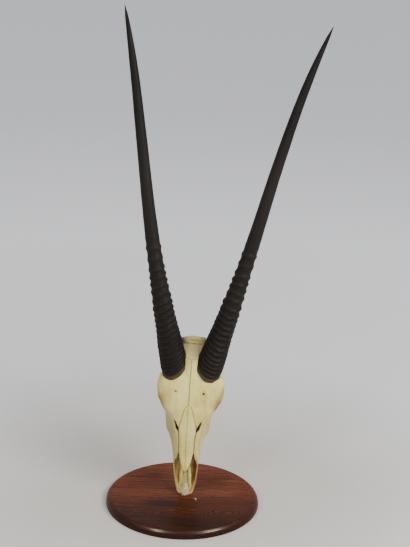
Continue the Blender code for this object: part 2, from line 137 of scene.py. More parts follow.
def turned_board():
    """The board's outline turned round its middle: flat on top, then a quarter ellipse down
    to the rim, a straight side and a small rounded foot. The outline's points are radius and
    height."""
    turn = np.radians(np.linspace(0.0, 90.0, 22)[1:])
    profile = [(r, BOARD_THICK) for r in np.linspace(1.0, BOARD_RADIUS - BOARD_EDGE, 24)]
    edge_radius = BOARD_RADIUS - BOARD_EDGE * (1 - np.sin(turn))
    edge_height = BOARD_THICK - BOARD_EDGE_DROP * (1 - np.cos(turn))
    profile += zip(edge_radius, edge_height)
    profile += [(BOARD_RADIUS, 3.5), (BOARD_RADIUS, BOARD_FOOT)]
    profile += [(BOARD_RADIUS - 0.3 * BOARD_FOOT, 0.3 * BOARD_FOOT), (BOARD_RADIUS - BOARD_FOOT, 0.0)]
    profile += [(r, 0.0) for r in np.linspace(BOARD_RADIUS - 4, 1.0, 12)]
    radius, height = np.array(profile)[:, :, None].transpose(1, 0, 2)
    turn = np.linspace(0, 2 * np.pi, BOARD_STEPS, endpoint=False)
    rows = np.stack(np.broadcast_arrays(radius * np.sin(turn), radius * np.cos(turn), height), 2)
    points = np.concatenate(([(0, 0, BOARD_THICK)], rows.reshape(-1, 3), [(0, 0, 0)]))
    return points, tube_faces(len(profile), BOARD_STEPS)


# Dark red tropical hardwood, sawn flat and varnished: bands of red brown and near black that
# run along the board and close into ovals over the heart, and fine pores. The end grain of
# the rim drank more stain, and the clear varnish lies thicker there.
wood, tree, surface = finish("varnished_hardwood")
place = node(tree, "TexCoord", {}).node.outputs["Object"]
place = node(tree, "Mapping", {"Vector": place, "Scale": (1000, 1000, 1000)})
parts = node(tree, "SeparateXYZ", {"Vector": place}).node.outputs
wander = node(tree, "Mapping", {"Vector": place, "Scale": (0.004, 0.009, 0.009)})
wander = node(tree, "TexNoise", {"Vector": wander, "Scale": 1.0, "Detail": 2.0})
wander = node(tree, "MapRange", {"Value": wander, "To Min": -14.0, "To Max": 14.0})
reach = node(tree, "Math", {0: parts["X"], 1: HEART_AT[0]}, operation="SUBTRACT")
reach = node(tree, "Math", {0: reach, 1: HEART_RUN}, operation="DIVIDE")
reach = node(tree, "Math", {0: reach, 1: reach}, operation="MULTIPLY")
reach = node(tree, "Math", {0: reach, 1: HEART_DIP}, operation="SMOOTH_MIN")
depth = node(tree, "Math", {0: BOARD_THICK + HEART_DEPTH, 1: parts["Z"]}, operation="SUBTRACT")
depth = node(tree, "Math", {0: depth, 1: reach}, operation="ADD")
side = node(tree, "Math", {0: parts["Y"], 1: HEART_AT[1]}, operation="SUBTRACT")
side = node(tree, "Math", {0: side, 1: wander}, operation="ADD")
rings = node(tree, "CombineXYZ", {"X": side, "Y": depth})
rings = node(tree, "VectorMath", {0: rings}, operation="LENGTH").node.outputs["Value"]
waver = node(tree, "Mapping", {"Vector": place, "Scale": (0.020, 0.045, 0.045)})
waver = node(tree, "TexNoise", {"Vector": waver, "Scale": 1.0, "Detail": 3.0})
waver = node(tree, "MapRange", {"Value": waver, "To Min": -10.0, "To Max": 10.0})
rings = node(tree, "Math", {0: rings, 1: waver}, operation="ADD")
bands = node(tree, "TexNoise", {"W": rings, "Scale": 1 / RING_WIDTH, "Detail": 2.0, "Roughness": 0.6},
             noise_dimensions="1D")
broad = node(tree, "TexNoise", {"W": rings, "Scale": 0.045, "Detail": 1.0}, noise_dimensions="1D")
fibre = node(tree, "Mapping", {"Vector": place, "Scale": (0.014, 0.60, 0.60)})
fibre = node(tree, "TexNoise", {"Vector": fibre, "Scale": 1.0, "Detail": 4.0, "Roughness": 0.6})
pores = node(tree, "Mapping", {"Vector": place, "Scale": (0.10, 1.1, 1.1)})
pores = node(tree, "TexNoise", {"Vector": pores, "Scale": 1.0, "Detail": 1.0})
pores = node(tree, "MapRange", {"Value": pores, "From Min": 0.62, "From Max": 0.70})
clouds = node(tree, "Mapping", {"Vector": place, "Scale": (0.006, 0.013, 0.013)})
clouds = node(tree, "TexNoise", {"Vector": clouds, "Scale": 1.0, "Detail": 3.0})
grain = node(tree, "Mix", {"Factor": 0.52, "A": bands, "B": fibre})
grain = node(tree, "Mix", {"Factor": 0.14, "A": grain, "B": broad})
figure = node(tree, "ValToRGB", {"Fac": grain}, ramp=(
    (0.36, linear("#34180e")), (0.44, linear("#552a19")), (0.50, linear("#6d3722")),
    (0.57, linear("#854428")), (0.68, linear("#a05833"))))
shade = node(tree, "MapRange", {"Value": clouds, "From Min": 0.35, "From Max": 0.70, "To Max": 0.70})
figure = node(tree, "Mix", {"Factor": shade, "A": figure, "B": linear("#8a7468")}, data_type="RGBA",
              blend_type="MULTIPLY")
heart = node(tree, "MapRange", {"Value": rings, "From Min": 70.0, "From Max": 15.0, "To Max": 0.30})
figure = node(tree, "Mix", {"Factor": heart, "A": figure, "B": linear("#a08074")}, data_type="RGBA",
              blend_type="MULTIPLY")
ovals = node(tree, "Math", {0: rings, 1: 2 * np.pi / OVAL_WIDTH}, operation="MULTIPLY")
ovals = node(tree, "Math", {0: ovals}, operation="SINE")
near = node(tree, "MapRange", {"Value": rings, "From Min": 62.0, "From Max": 10.0, "To Max": 0.42})
ovals = node(tree, "Math", {0: ovals, 1: near}, operation="MULTIPLY", use_clamp=True)
figure = node(tree, "Mix", {"Factor": ovals, "A": figure, "B": linear("#b0603c")}, data_type="RGBA")
knot = node(tree, "VectorMath", {0: place, 1: DARK_AT}, operation="SUBTRACT")
knot = node(tree, "VectorMath", {0: knot, 1: DARK_SIZE}, operation="DIVIDE")
knot = node(tree, "VectorMath", {0: knot}, operation="LENGTH").node.outputs["Value"]
knot = node(tree, "MapRange", {"Value": knot, "From Min": 1.3, "From Max": 0.2, "To Max": 0.72},
            interpolation_type="SMOOTHSTEP")
figure = node(tree, "Mix", {"Factor": knot, "A": figure, "B": linear("#2a1a12")}, data_type="RGBA")
# painted reflection: the board is darker towards the front, so the back stays lighter where it would mirror
# the bright wall
front_dark_painted_reflection = node(tree, "Math", {0: clouds, 1: 110.0}, operation="MULTIPLY")
front_dark_painted_reflection = node(tree, "Math", {0: parts["Y"], 1: front_dark_painted_reflection}, operation="ADD")
front_dark_painted_reflection = node(tree, "MapRange", {"Value": front_dark_painted_reflection, "From Min": 108.0, "From Max": -76.0, "To Max": 0.92},
            interpolation_type="SMOOTHSTEP")
figure = node(tree, "Mix", {"Factor": front_dark_painted_reflection, "A": figure, "B": linear("#727070")}, data_type="RGBA",
              blend_type="MULTIPLY")
out = node(tree, "VectorMath", {0: place, 1: (1.0, 1.0, 0.0)}, operation="MULTIPLY")
out = node(tree, "VectorMath", {0: out}, operation="LENGTH").node.outputs["Value"]
out = node(tree, "MapRange", {"Value": out, "From Min": BOARD_RADIUS - 1.4 * BOARD_EDGE,
                              "From Max": BOARD_RADIUS - 0.2 * BOARD_EDGE})
amount = node(tree, "Math", {0: out, 1: 0.7}, operation="MULTIPLY")
figure = node(tree, "Mix", {"Factor": amount, "A": figure, "B": linear("#d07a4c")}, data_type="RGBA",
              blend_type="MULTIPLY")
varnish = node(tree, "MapRange", {"Value": out, "To Min": 0.05, "To Max": 0.20})
tree.links.new(varnish, surface.inputs["Coat Weight"])
pore = node(tree, "Math", {0: pores, 1: 0.5}, operation="MULTIPLY")
figure = node(tree, "Mix", {"Factor": pore, "A": figure, "B": linear("#1c0c07")}, data_type="RGBA")
tree.links.new(figure, surface.inputs["Base Color"])
worn = node(tree, "MapRange", {"Value": clouds, "To Min": 0.38, "To Max": 0.55})
tree.links.new(worn, surface.inputs["Roughness"])
dent = node(tree, "Math", {0: grain, 1: pores}, operation="SUBTRACT")
dent = node(tree, "Bump", {"Height": dent, "Strength": 0.10, "Distance": 0.0002})
tree.links.new(dent, surface.inputs["Normal"])
surface.inputs["Specular IOR Level"].default_value = 0.06
surface.inputs["Coat Roughness"].default_value = 0.20
surface.inputs["Coat IOR"].default_value = 1.5

board = piece("board", *turned_board(), wood)
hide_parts("base_board")


# SCREWS --------------------------------------------------------------------------------
# Two countersunk steel wood screws come up through the board into the plaster and the jaws.
# Their heads lie just inside the underside. Bright zinc plating, a little dulled in patches.
zinc, tree, surface = finish("zinc_plated_steel")
place = node(tree, "TexCoord", {}).node.outputs["Object"]
patches = node(tree, "TexNoise", {"Vector": place, "Scale": 900.0, "Detail": 3.0})
tint = node(tree, "ValToRGB", {"Fac": patches}, ramp=((0.3, linear("#a9adb2")), (0.7, linear("#c9cccd"))))
tree.links.new(tint, surface.inputs["Base Color"])
dull = node(tree, "MapRange", {"Value": patches, "To Min": 0.25, "To Max": 0.50})
tree.links.new(dull, surface.inputs["Roughness"])
surface.inputs["Metallic"].default_value = 1.0
for name in ("screw_left", "screw_right"):
    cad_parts[name].material_slots[0].material = zinc


# PLASTER -------------------------------------------------------------------------------
# White filler pressed between the tips of the jaws to bed the skull on its screws, left lumpy
# as it set, with three dropped crumbs on the board beside it.
HEAD_AT = np.array((5.5, 0.0, 20.0))  # where the tip of the skull meets the board
HEAD_LEAN, HEAD_ROLL, HEAD_TURN = np.radians((-6.0, 1.7, -3.7))  # back, to the side, round
PLUG_AT, PLUG_SIZE = (0.0, -1.5, 16.0), (13.0, 7.0, 18.5)
PLUG_TAPER, PLUG_TAPERS = 0.42, (5.0, 31.0)  # how much narrower it gets, and between which heights
SMEAR_AT, SMEAR_SIZE = (0.0, 0.5, 38.0), (11.5, 5.0, 26.0)  # the last of it, pushed up behind
CRUMBS = (((33.0, -22.5, 20.6), (1.9, 2.6, 0.9)), ((34.5, -28.0, 20.3), (0.7, 0.9, 0.5)),
          ((30.0, -18.0, 20.3), (0.6, 0.8, 0.4)))  # place and size of each
PLUG_ROUGH, SMEAR_ROUGH, CRUMB_ROUGH = 0.15, 0.20, 0.25  # share of their size that the lumps stand out


def stand(points):
    """The head's own millimetres put on the board: turned about its height, then rolled to
    the side, then leaned back, and set on the board."""
    angles = np.array((HEAD_LEAN, HEAD_ROLL, HEAD_TURN))
    (ca, cb, cc), (sa, sb, sc) = np.cos(angles), np.sin(angles)
    lean = np.array(((1, 0, 0), (0, ca, -sa), (0, sa, ca)))
    roll = np.array(((cb, 0, sb), (0, 1, 0), (-sb, 0, cb)))
    turn = np.array(((cc, -sc, 0), (sc, cc, 0), (0, 0, 1)))
    return points @ (lean @ roll @ turn).T + HEAD_AT


def blended(table, at):
    """A table of numbers on a cubic lattice read between its points, wrapping at its ends:
    the eight corners of the cell weighted by the place in it along each axis."""
    low = np.floor(at).astype(int)
    part = at - low
    total = np.zeros(len(at))
    for corner in np.ndindex(2, 2, 2):
        share = np.prod(np.where(corner, part, 1 - part), 1)
        total += share * table[tuple(((low + corner) % table.shape).T)]
    return total


def drift(points, size, seed):
    """Smooth noise from -1 to 1 with features of that size in millimetres: random numbers on
    a lattice, read between its points with the step eased as 3t² - 2t³."""
    table = np.random.default_rng(seed).uniform(-1, 1, (32, 32, 32))
    at = points / size
    low = np.floor(at)
    part = at - low
    return blended(table, low + part * part * (3 - 2 * part))


def along(value, start, end):
    """The share of the way from start to end, held between 0 and 1."""
    return np.clip((value - start) / (end - start), 0, 1)


def lump(middle, radii, rough, seed, rows=40, columns=56):
    """An uneven lump: an ellipsoid whose points move along their own direction from the middle
    by noise at two sizes."""
    rise = np.linspace(0, np.pi, rows + 2)[1:-1, None]
    turn = np.linspace(0, 2 * np.pi, columns, endpoint=False)
    grid = np.sin(rise) * np.cos(turn), -np.sin(rise) * np.sin(turn), np.cos(rise)
    grid = np.stack(np.broadcast_arrays(*grid), 2)
    way = np.concatenate(([(0, 0, 1)], grid.reshape(-1, 3), [(0, 0, -1)]))
    points = way * radii
    size = min(radii)
    swell = 1 + rough * (drift(points, 0.7 * size, seed) + 0.5 * drift(points, 0.25 * size, seed + 1))
    return points * swell[:, None] + middle, tube_faces(rows, columns)


# Filler that dried matt and chalky: off white, darker where dust settled and yellowed by the
# bone higher up, with a fine grit.
chalk, tree, surface = finish("dry_white_plaster")
place = node(tree, "TexCoord", {}).node.outputs["Object"]
dust = node(tree, "TexNoise", {"Vector": place, "Scale": 320.0, "Detail": 3.0})
tint = node(tree, "ValToRGB", {"Fac": dust}, ramp=((0.35, linear("#a8956b")), (0.60, linear("#dccdab"))))
high = node(tree, "SeparateXYZ", {"Vector": place}).node.outputs["Z"]
high = node(tree, "MapRange", {"Value": high, "From Min": 0.034, "From Max": 0.058, "To Max": 0.85})
tint = node(tree, "Mix", {"Factor": high, "A": tint, "B": linear("#b09a5c")}, data_type="RGBA")
tree.links.new(tint, surface.inputs["Base Color"])
grit = node(tree, "TexNoise", {"Vector": place, "Scale": 1600.0, "Detail": 2.0})
grit = node(tree, "Bump", {"Height": grit, "Strength": 0.5, "Distance": 0.0004})
tree.links.new(grit, surface.inputs["Normal"])
surface.inputs["Roughness"].default_value = 0.9

points, faces = lump(PLUG_AT, PLUG_SIZE, PLUG_ROUGH, 4)
points[:, 0] *= 1 - PLUG_TAPER * along(points[:, 2], *PLUG_TAPERS)
plug = piece("plaster_plug", stand(points), faces, chalk)
points, faces = lump(SMEAR_AT, SMEAR_SIZE, SMEAR_ROUGH, 8)
smear = piece("plaster_smear", stand(points), faces, chalk)
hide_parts("plaster_plug")
for i, (middle, radii) in enumerate(CRUMBS):
    crumb = piece(f"plaster_crumb_{i + 1}", *lump(middle, radii, CRUMB_ROUGH, 20 + i, 14, 20), chalk)


# SKULL ---------------------------------------------------------------------------------
# The upper skull of a gemsbok: one bone grown together along fine sutures, boiled clean and
# bleached. Its hollows and bridges can't be unrolled on one grid, so its shape is a field:
# solids of simple formula melted into each other, and the surface is where the field is zero.
# One half is made, x growing outwards, y backwards from the face and z up from the nose tip.
CELL = 1.85  # between samples of the field
HALF, FRONT, BACK, LOW, TOP = 92, -62, 132, -6, 414  # the block that holds the skull
EMPTY = 40.0  # what the field holds where no bone is near
GX = np.arange(HALF / CELL) * CELL + CELL / 2
GY = np.arange(FRONT, BACK, CELL)
GZ = np.arange(LOW, TOP, CELL)
field = np.full((len(GX), len(GY), len(GZ)), EMPTY, np.float32)


def lower(a, b, k):
    """The lower of two fields, rounded over a width k where they meet."""
    share = np.clip(0.5 + 0.5 * (b - a) / k, 0.0, 1.0)
    return b * (1 - share) + a * share - k * share * (1 - share)


def melt(shape, low, high, k=6.0, carve=False):
    """Adds the solid that lies between two corners to the field, or carves it out, with a
    fillet of about k."""
    cut = tuple(slice(max(0, int(np.searchsorted(g, a - k - 6))), int(np.searchsorted(g, b + k + 6)))
                for g, a, b in zip((GX, GY, GZ), low, high))
    x, y, z = np.meshgrid(GX[cut[0]], GY[cut[1]], GZ[cut[2]], indexing="ij", sparse=True)
    add = np.broadcast_to(shape(x, y, z), field[cut].shape)
    field[cut] = -lower(-field[cut], add, k) if carve else lower(field[cut], add, k)


def egg(x, y, z, radii):
    """About the distance to an ellipsoid: n (n - 1) over its steepness, where n is the length
    of the point over its radii."""
    near = np.sqrt((x / radii[0]) ** 2 + (y / radii[1]) ** 2 + (z / radii[2]) ** 2)
    steep = np.sqrt((x / radii[0] ** 2) ** 2 + (y / radii[1] ** 2) ** 2 + (z / radii[2] ** 2) ** 2)
    return near * (near - 1) / np.maximum(steep, 1e-4)


def ball(middle, radii, tilt=0.0, turn=0.0, k=6.0, carve=False):
    """Melts in an ellipsoid, tilted from up to back and then turned from up to the side."""
    angles = np.radians((tilt, turn))
    (c, c2), (s, s2) = np.cos(angles), np.sin(angles)

    def shape(x, y, z):
        u, v, w = x - middle[0], y - middle[1], z - middle[2]
        v, w = c * v + s * w, c * w - s * v
        u, w = c2 * u - s2 * w, c2 * w + s2 * u
        return egg(u, v, w, radii)

    reach = max(radii)
    melt(shape, [c - reach for c in middle], [c + reach for c in middle], k, carve)


def bar(path, radii, k=5.0, flat=(1.0, 1.0, 1.0), carve=False):
    """Melts in a bar along a path: the distance to the nearest run, less the radius there.
    Space is stretched by flat first, which makes the bar a blade."""
    path = np.array(path, float)
    radii = np.broadcast_to(np.array(radii, float), len(path))

    def shape(x, y, z):
        best = 1e3
        for start, end, first, last in zip(path, path[1:], radii, radii[1:]):
            run = (end - start) * flat
            off = [(q - start[i]) * flat[i] for i, q in enumerate((x, y, z))]
            t = np.clip(sum(a * b for a, b in zip(off, run)) / (run @ run), 0, 1)
            far = np.sqrt(sum((a - t * b) ** 2 for a, b in zip(off, run))) - (first + (last - first) * t)
            best = lower(best, far, 1.5)
        return best / max(flat)

    melt(shape, path.min(0) - radii.max(), path.max(0) + radii.max(), k, carve)


def eased(rows, at):
    """A table's columns read along a smooth curve through its rows, whose first column is
    where they stand: a cubic between two rows, with the slope of their neighbours."""
    stand_at, value = rows[:, 0], rows[:, 1:]
    slope = np.gradient(value, stand_at, axis=0)
    i = np.clip(np.searchsorted(stand_at, at) - 1, 0, len(rows) - 2)
    run = (stand_at[i + 1] - stand_at[i])[:, None]
    t = np.clip((at - stand_at[i])[:, None] / run, 0, 1)
    return ((1 + 2 * t) * (1 - t) ** 2 * value[i] + t * (1 - t) ** 2 * run * slope[i]
            + t * t * (3 - 2 * t) * value[i + 1] - t * t * (1 - t) * run * slope[i + 1])


def rounded(ring, parts=3):
    """More points on a closed outline: between two points the curve that passes through both
    and leaves each towards the next but one."""
    before, after, beyond = (np.roll(ring, n, 1) for n in (1, -1, -2))
    t = (np.arange(parts) / parts)[:, None, None, None]
    more = 0.5 * (2 * ring + (after - before) * t + (2 * before - 5 * ring + 4 * after - beyond) * t**2
                  + (3 * ring - before - 3 * after + beyond) * t**3)
    return more.transpose(1, 2, 0, 3).reshape(len(ring), -1, 2)


def hull(rows, soft, k=6.0, carve=False):
    """Melts in a solid lofted along z. A row is z and then x, y of its outline's points from
    the middle of the face round to the middle of the back; the field is the distance in the
    plane to that outline, negative inside, and soft rounds the ends."""
    rows = np.array(rows, float)
    first, last = rows[0, 0], rows[-1, 0]

    def shape(x, y, z):
        outline = eased(rows, np.clip(z.reshape(-1), first, last)).reshape(z.size, -1, 2)
        outline = np.concatenate((outline, outline[:, -2:0:-1] * (-1, 1)), 1)
        outline = rounded(outline).astype(np.float32)
        far, inside = np.float32(1e9), False
        for i in range(outline.shape[1]):
            ax, ay = outline[:, i - 1].T
            bx, by = outline[:, i].T
            dx, dy, px, py = bx - ax, by - ay, x - ax, y - ay
            t = np.clip((px * dx + py * dy) / np.maximum(dx * dx + dy * dy, 1e-6), 0, 1)
            far = np.minimum(far, (px - dx * t) ** 2 + (py - dy * t) ** 2)
            inside = inside ^ (((ay > y) != (by > y)) & (px < dx * py / np.where(dy == 0, 1e-9, dy)))
        wall = np.sqrt(far) * np.where(inside, -1, 1) + soft
        cap = np.maximum(first - z, z - last) + soft
        return (np.sqrt(np.maximum(wall, 0) ** 2 + np.maximum(cap, 0) ** 2)
                + np.minimum(np.maximum(wall, cap), 0) - soft)

    xs, ys = rows[:, 1::2], rows[:, 2::2]
    melt(shape, (0, ys.min(), first), (xs.max(), ys.max(), last), k, carve)


def net(values, start):
    """The surface where a field is zero, as quads: one point in each cell that the surface
    crosses, at the mean of its crossings, and a quad round each grid edge that it crosses."""
    inside = values < 0
    shape = np.array(values.shape)
    total = np.zeros((*(shape - 1), 3), np.float32)
    count = np.zeros(shape - 1, np.int16)
    for axis in range(3):
        b, c = (axis + 1) % 3, (axis + 2) % 3
        near, far = (np.take(values, np.arange(shape[axis] - 1) + n, axis) for n in (0, 1))
        hit = (near < 0) != (far < 0)
        part = np.where(hit, near / np.where(hit, near - far, 1), 0)
        for u, v in np.ndindex(2, 2):
            pick = [slice(None)] * 3
            pick[b], pick[c] = slice(u, shape[b] - 1 + u), slice(v, shape[c] - 1 + v)
            count += hit[tuple(pick)]
            total[..., axis] += part[tuple(pick)]
            total[..., b] += hit[tuple(pick)] * u
            total[..., c] += hit[tuple(pick)] * v
    used = count > 0
    number = np.cumsum(used).reshape(used.shape) - 1
    points = (np.argwhere(used) + total[used] / count[used][:, None]) * CELL + start
    quads = []
    for axis in range(3):
        b, c = (axis + 1) % 3, (axis + 2) % 3
        pick = [slice(1, -1)] * 3
        pick[axis] = slice(0, -1)
        first = inside[tuple(pick)]
        pick[axis] = slice(1, None)
        last = inside[tuple(pick)]
        for way in (1, -1):
            at = np.argwhere((first != last) & (first == (way > 0)))
            at[:, b] += 1
            at[:, c] += 1
            corner = []
            for db, dc in ((-1, -1), (0, -1), (0, 0), (-1, 0))[::way]:
                step = at.copy()
                step[:, b] += db
                step[:, c] += dc
                corner.append(number[tuple(step.T)])
            quads.append(np.stack(corner, 1))
    return points, np.concatenate(quads)


# the face: upper jaws and cheeks, from the nose opening back to the eye sockets
hull((
    (1, 0, -3, 6, -4, 11, -3, 13, 1, 11, 6, 6, 8.5, 0, 8),
    (6, 0, -4, 9, -5, 16, -4, 18, 1, 16, 7, 9, 9.5, 0, 9),
    (18, 0, -6, 12, -7, 20, -6, 22.5, 0, 20, 8, 12, 11, 0, 10),
    (38, 0, -9, 14, -11, 23, -10, 27, -1, 24, 8, 15, 12, 0, 11),
    (66, 0, -14, 16, -18, 25, -17, 30, -3, 27, 8, 17, 13.5, 0, 12),
    (86, 0, -24, 17, -29, 24.5, -26, 31.2, -5, 30, 8, 20, 14.5, 0, 12),
    (98, 0, -36, 17, -36.5, 24, -31, 31.6, -8, 31, 6, 23, 16, 0, 12),
    (108, 0, -43, 18, -42.5, 26, -33, 32.2, -11, 33, 6, 26, 18, 0, 13),
    (125, 0, -45, 20, -44.5, 28, -33, 34.5, -10, 36.5, 9, 29, 24, 0, 17),
    (145, 0, -46, 21, -45.5, 30, -34, 38.5, -10, 42.5, 12, 33, 32, 0, 24),
    (168, 0, -46.5, 23, -46, 33, -36, 43, -12, 50.5, 14, 36, 42, 0, 33),
    (192, 0, -47, 26, -46.5, 39, -37, 48, -13, 55.5, 13, 39, 52, 0, 42),
    (214, 0, -47.5, 33, -47, 47, -38.5, 54, -16, 56.5, 10, 40, 60, 0, 50),
    (232, 0, -48, 40, -47, 54, -39, 60, -20, 50, 14, 38, 60, 0, 54),
    (240, 0, -48, 40, -47, 54, -39, 60, -24, 46, 6, 34, 50, 0, 54),
), 4.0)
# the middle: walls between the eye sockets, back to the brain case
hull((
    (224, 0, -46, 34, -44, 42, -30, 40, -4, 38, 26, 31, 56, 0, 50),
    (245, 0, -46, 38, -44, 38, -30, 30, -8, 27, 20, 17, 47, 0, 46),
    (270, 0, -47, 42, -45, 36, -30, 26, -8, 23, 20, 14, 48, 0, 52),
    (300, 0, -46, 42, -43, 40, -32, 31, -10, 29, 20, 18, 58, 0, 64),
    (326, 0, -41, 34, -34, 40, -24, 38, 0, 36, 28, 22, 66, 0, 72),
    (350, 0, -32, 18, -28, 32, -8, 38, 15, 36, 45, 22, 72, 0, 78),
), 5.0, 9.0)
# the forehead: a broad shield that juts out over the eyes
hull((
    (196, 0, -40, 18, -40, 28, -38, 34, -34, 38, -29, 38, -24, 34, -22, 25, -26, 0, -28),
    (210, 0, -43, 22, -43, 33, -41, 40, -36, 45, -29, 45, -22, 40, -19, 29, -26, 0, -28),
    (226, 0, -46, 28, -46, 43, -44, 52, -39, 58, -30, 60, -20, 53, -15, 36, -25, 0, -28),
    (242, 0, -47.5, 33, -47.5, 50, -45.5, 61, -40, 68, -31, 71, -19, 64, -11, 46, -22, 0, -28),
    (262, 0, -48.5, 36, -49, 53, -47.5, 65, -41.5, 73, -31, 76.5, -17, 71, -8, 52, -21, 0, -28),
    (282, 0, -49, 38, -50, 56, -49, 69, -43, 76, -31, 79, -16, 74, -7, 56, -19, 0, -28),
    (298, 0, -48, 38, -49, 56, -48, 68, -43.5, 75, -33, 78.5, -18, 73, -9, 56, -18, 0, -28),
    (312, 0, -46, 28, -46, 46, -45, 60, -40, 70, -31, 75, -19, 69, -11, 52, -16, 0, -26),
    (324, 0, -44, 12, -43.5, 24, -40, 44, -34, 58, -26, 62, -16, 56, -8, 44, -12, 0, -24),
    (344, 0, -39, 7, -38.5, 12, -34, 22, -24, 34, -12, 40, 0, 38, 8, 30, 10, 0, -10),
    (362, 0, -28.5, 9, -28, 16, -25, 22, -18, 28, -6, 34, 8, 30, 14, 22, 16, 0, 0),
), 3.5, 8.0)


def brain_case(x, y, z):
    """An egg cut off by the slope of the parietal bone and by the back of the head."""
    roof = -0.594 * (y + 30) + 0.805 * (z - 361) + 0.004 * x * x
    nape = 0.385 * (y - 12) + 0.923 * (z - 395) + 0.003 * x * x
    return -lower(lower(-egg(x, y - 36, z - 342, (46, 68, 68)), -roof, 10.0), -nape, 8.0)


melt(brain_case, (0, -40, 275), (48, 104, 404), 8.0)
# the crest across the back of the head, a rough flared lip where the neck muscles held
bar(((0, 11, 401), (12, 12, 400), (23, 16, 396), (31, 26, 389), (36, 42, 377), (38, 56, 364)),
    (5.2, 5.6, 6.6, 6.2, 5.0, 4.6), 8.0)
bar(((0, 0.5, 391), (12, 1.5, 390.5), (22, 6, 389), (29, 14, 385)), (1.7, 1.8, 2.2, 2.0), 3.0, carve=True)
# the ridge down the nape, the two joint knobs and the spinal hole
bar(((0, 18, 396), (0, 44, 388)), (4.5, 2.0), 8.0)
ball((0, 72, 368), (24, 18, 17), 0, 0, 10.0)
ball((17, 86, 366), (10.5, 14, 13), 20, 15, 4.0)
ball((0, 84, 372), (11.5, 13, 16), 30, 0, 3.0, True)
bar(((0, 84, 380), (0, 62, 352), (0, 50, 338)), (10.5, 9.5, 12), 3.0, carve=True)
# the floor of the skull and the two ear capsules
bar(((0, 56, 258), (0, 70, 300), (0, 79, 330), (0, 84, 352)), (7, 10, 12, 14), 8.0, (0.8, 1, 1))
ball((26, 80, 320), (9.5, 14, 13.5), 15, 0, 4.0)
bar(((30, 62, 330), (50, 55, 336)), (7.5, 5.0), 5.0)
bar(((50, 55, 336), (60, 52, 339)), (2.4, 2.6), 1.5, carve=True)
# long processes beside the joints, and the swelling behind the ear
bar(((38, 66, 348), (39.5, 90, 342), (38, 112, 331)), (8.5, 5.5, 2.6), 6.0, (1.0, 0.75, 1.0))
ball((41, 52, 352), (7, 20, 18), -30, 0, 9.0)
# the cheek arch, from the cheekbone under the eye to its root at the ear
bar(((50, 26, 200), (57, 29, 226), (63, 31, 250), (66, 33, 275), (64, 37, 300), (57, 41, 322), (44, 42, 338)),
    (9, 9.5, 6.5, 5.4, 5.6, 6.2, 8.5), 8.0, (1.35, 0.8, 1.0))
bar(((66, 34, 286), (70, 24, 300), (75, 4, 304), (73, -14, 300)), (5.0, 4.6, 4.6, 6.0), 6.0, (1.0, 1.0, 0.8))
# the rim of the eye socket
eye = np.radians(np.arange(95, 331, 10))
eye_rim = 70 - 6 * np.sin(eye) + 4.0 * np.cos(eye), 3 + 25 * np.sin(eye), 271 + 27 * np.cos(eye)
bar(np.stack(eye_rim, 1), 4.6, 6.0)
# the tear bone and the cheek below the eye
ball((57, 7, 241), (10.5, 21, 17), -20, 14, 9.0)
ball((46, 20, 180), (8, 11, 22), -12, 0, 8.0)
# the sockets: the eye's, then the hollow behind it for the jaw muscle
ball((70, 2, 271), (40, 20.5, 22.5), 0, -6, 4.0, True)
ball((52, 22, 318), (15, 17, 26), -25, -14, 6.0, True)
bar(((47, 30, 262), (46, 50, 290)), (11, 12), 5.0, carve=True)
# the air passage, open in front
hull((
    (-3, 0, -30, 9, -30, 10, -12, 10, -5, 8, 1, 3, 4, 0, 4),
    (14, 0, -30, 13, -30, 14, -12, 14, -5, 10, 1, 4, 4, 0, 4),
    (36, 0, -40, 20, -40, 21.5, -20, 21, -8, 17, 2, 9, 5, 0, 5),
    (66, 0, -45, 26, -45, 26.5, -24, 25.5, -8, 20, 0, 10, 3, 0, 3),
    (88, 0, -50, 22, -50, 25, -26, 27.5, -8, 23, 0, 11, 2, 0, 2),
    (100, 0, -50, 19, -50, 24, -28, 28, -8, 24, 2, 12, 4, 0, 4),
    (110, 0, -50, 17.4, -50, 23.5, -29, 28, -8, 24, 8, 12, 11, 0, 11),
    (119, 0, -48, 16.5, -48, 23.5, -29, 28, -8, 24, 9, 12, 12, 0, 12),
    (128, 0, -40, 16.5, -40, 23.5, -29, 29, -8, 25, 11, 12, 14, 0, 14),
    (145, 0, -40, 17, -40, 24, -30, 31, -6, 26, 14, 12, 16, 0, 16),
    (190, 0, -40, 18, -40, 26, -30, 33, -6, 26, 22, 13, 32, 0, 34),
    (226, 0, -34, 15, -34, 22, -24, 26, -4, 22, 20, 13, 40, 0, 44),
    (250, 0, -10, 6, -10, 10, -2, 12, 14, 12, 30, 11, 62, 0, 70),
), 2.5, 2.5, True)
# the long pits of the palate, the ridges beside them and the wall down the middle
bar(((14, 13, 36), (15.5, 14, 56), (16.5, 16, 78)), (2.6, 3.6, 2.6), 2.0, carve=True)
bar(((9.5, 1.0, 8), (10.5, -2.0, 30), (10.5, -4, 52), (8.5, -3, 80)), (4.0, 4.4, 4.2, 3.4), 2.5)
bar(((0, 6, 30), (0, 4, 60), (0, -4, 96), (0, -20, 130), (0, -30, 190)), 1.6, 2.0)
# the palate's hollow between the tooth rows, and the rear opening of the nose
hull((
    (84, 0, 34, 9, 32, 12, 24, 8, 17, 0, 15.5),
    (112, 0, 40, 14, 38, 18, 27, 15, 21, 0, 19.5),
    (145, 0, 52, 19, 50, 22, 39, 19, 32, 0, 31),
    (180, 0, 68, 21, 68, 24, 53, 20, 45, 0, 44),
    (200, 0, 80, 22, 80, 25, 60, 21, 52, 0, 51),
    (226, 0, 90, 22, 90, 26, 68, 22, 60, 0, 59),
), 2.5, 5.0, True)
bar(((0, 66, 236), (0, 60, 252), (0, 50, 262)), (11.5, 10, 6), 4.0, carve=True)
# wings beside the rear opening, with their small hooks
bar(((14, 46, 222), (15, 60, 240), (15.5, 67, 254), (16, 66, 274)), (4.4, 3.4, 3.2, 5), 4.0, (1.5, 0.7, 1.0))
bar(((15.5, 66, 252), (17.5, 74, 260)), (2.6, 1.4), 2.0)
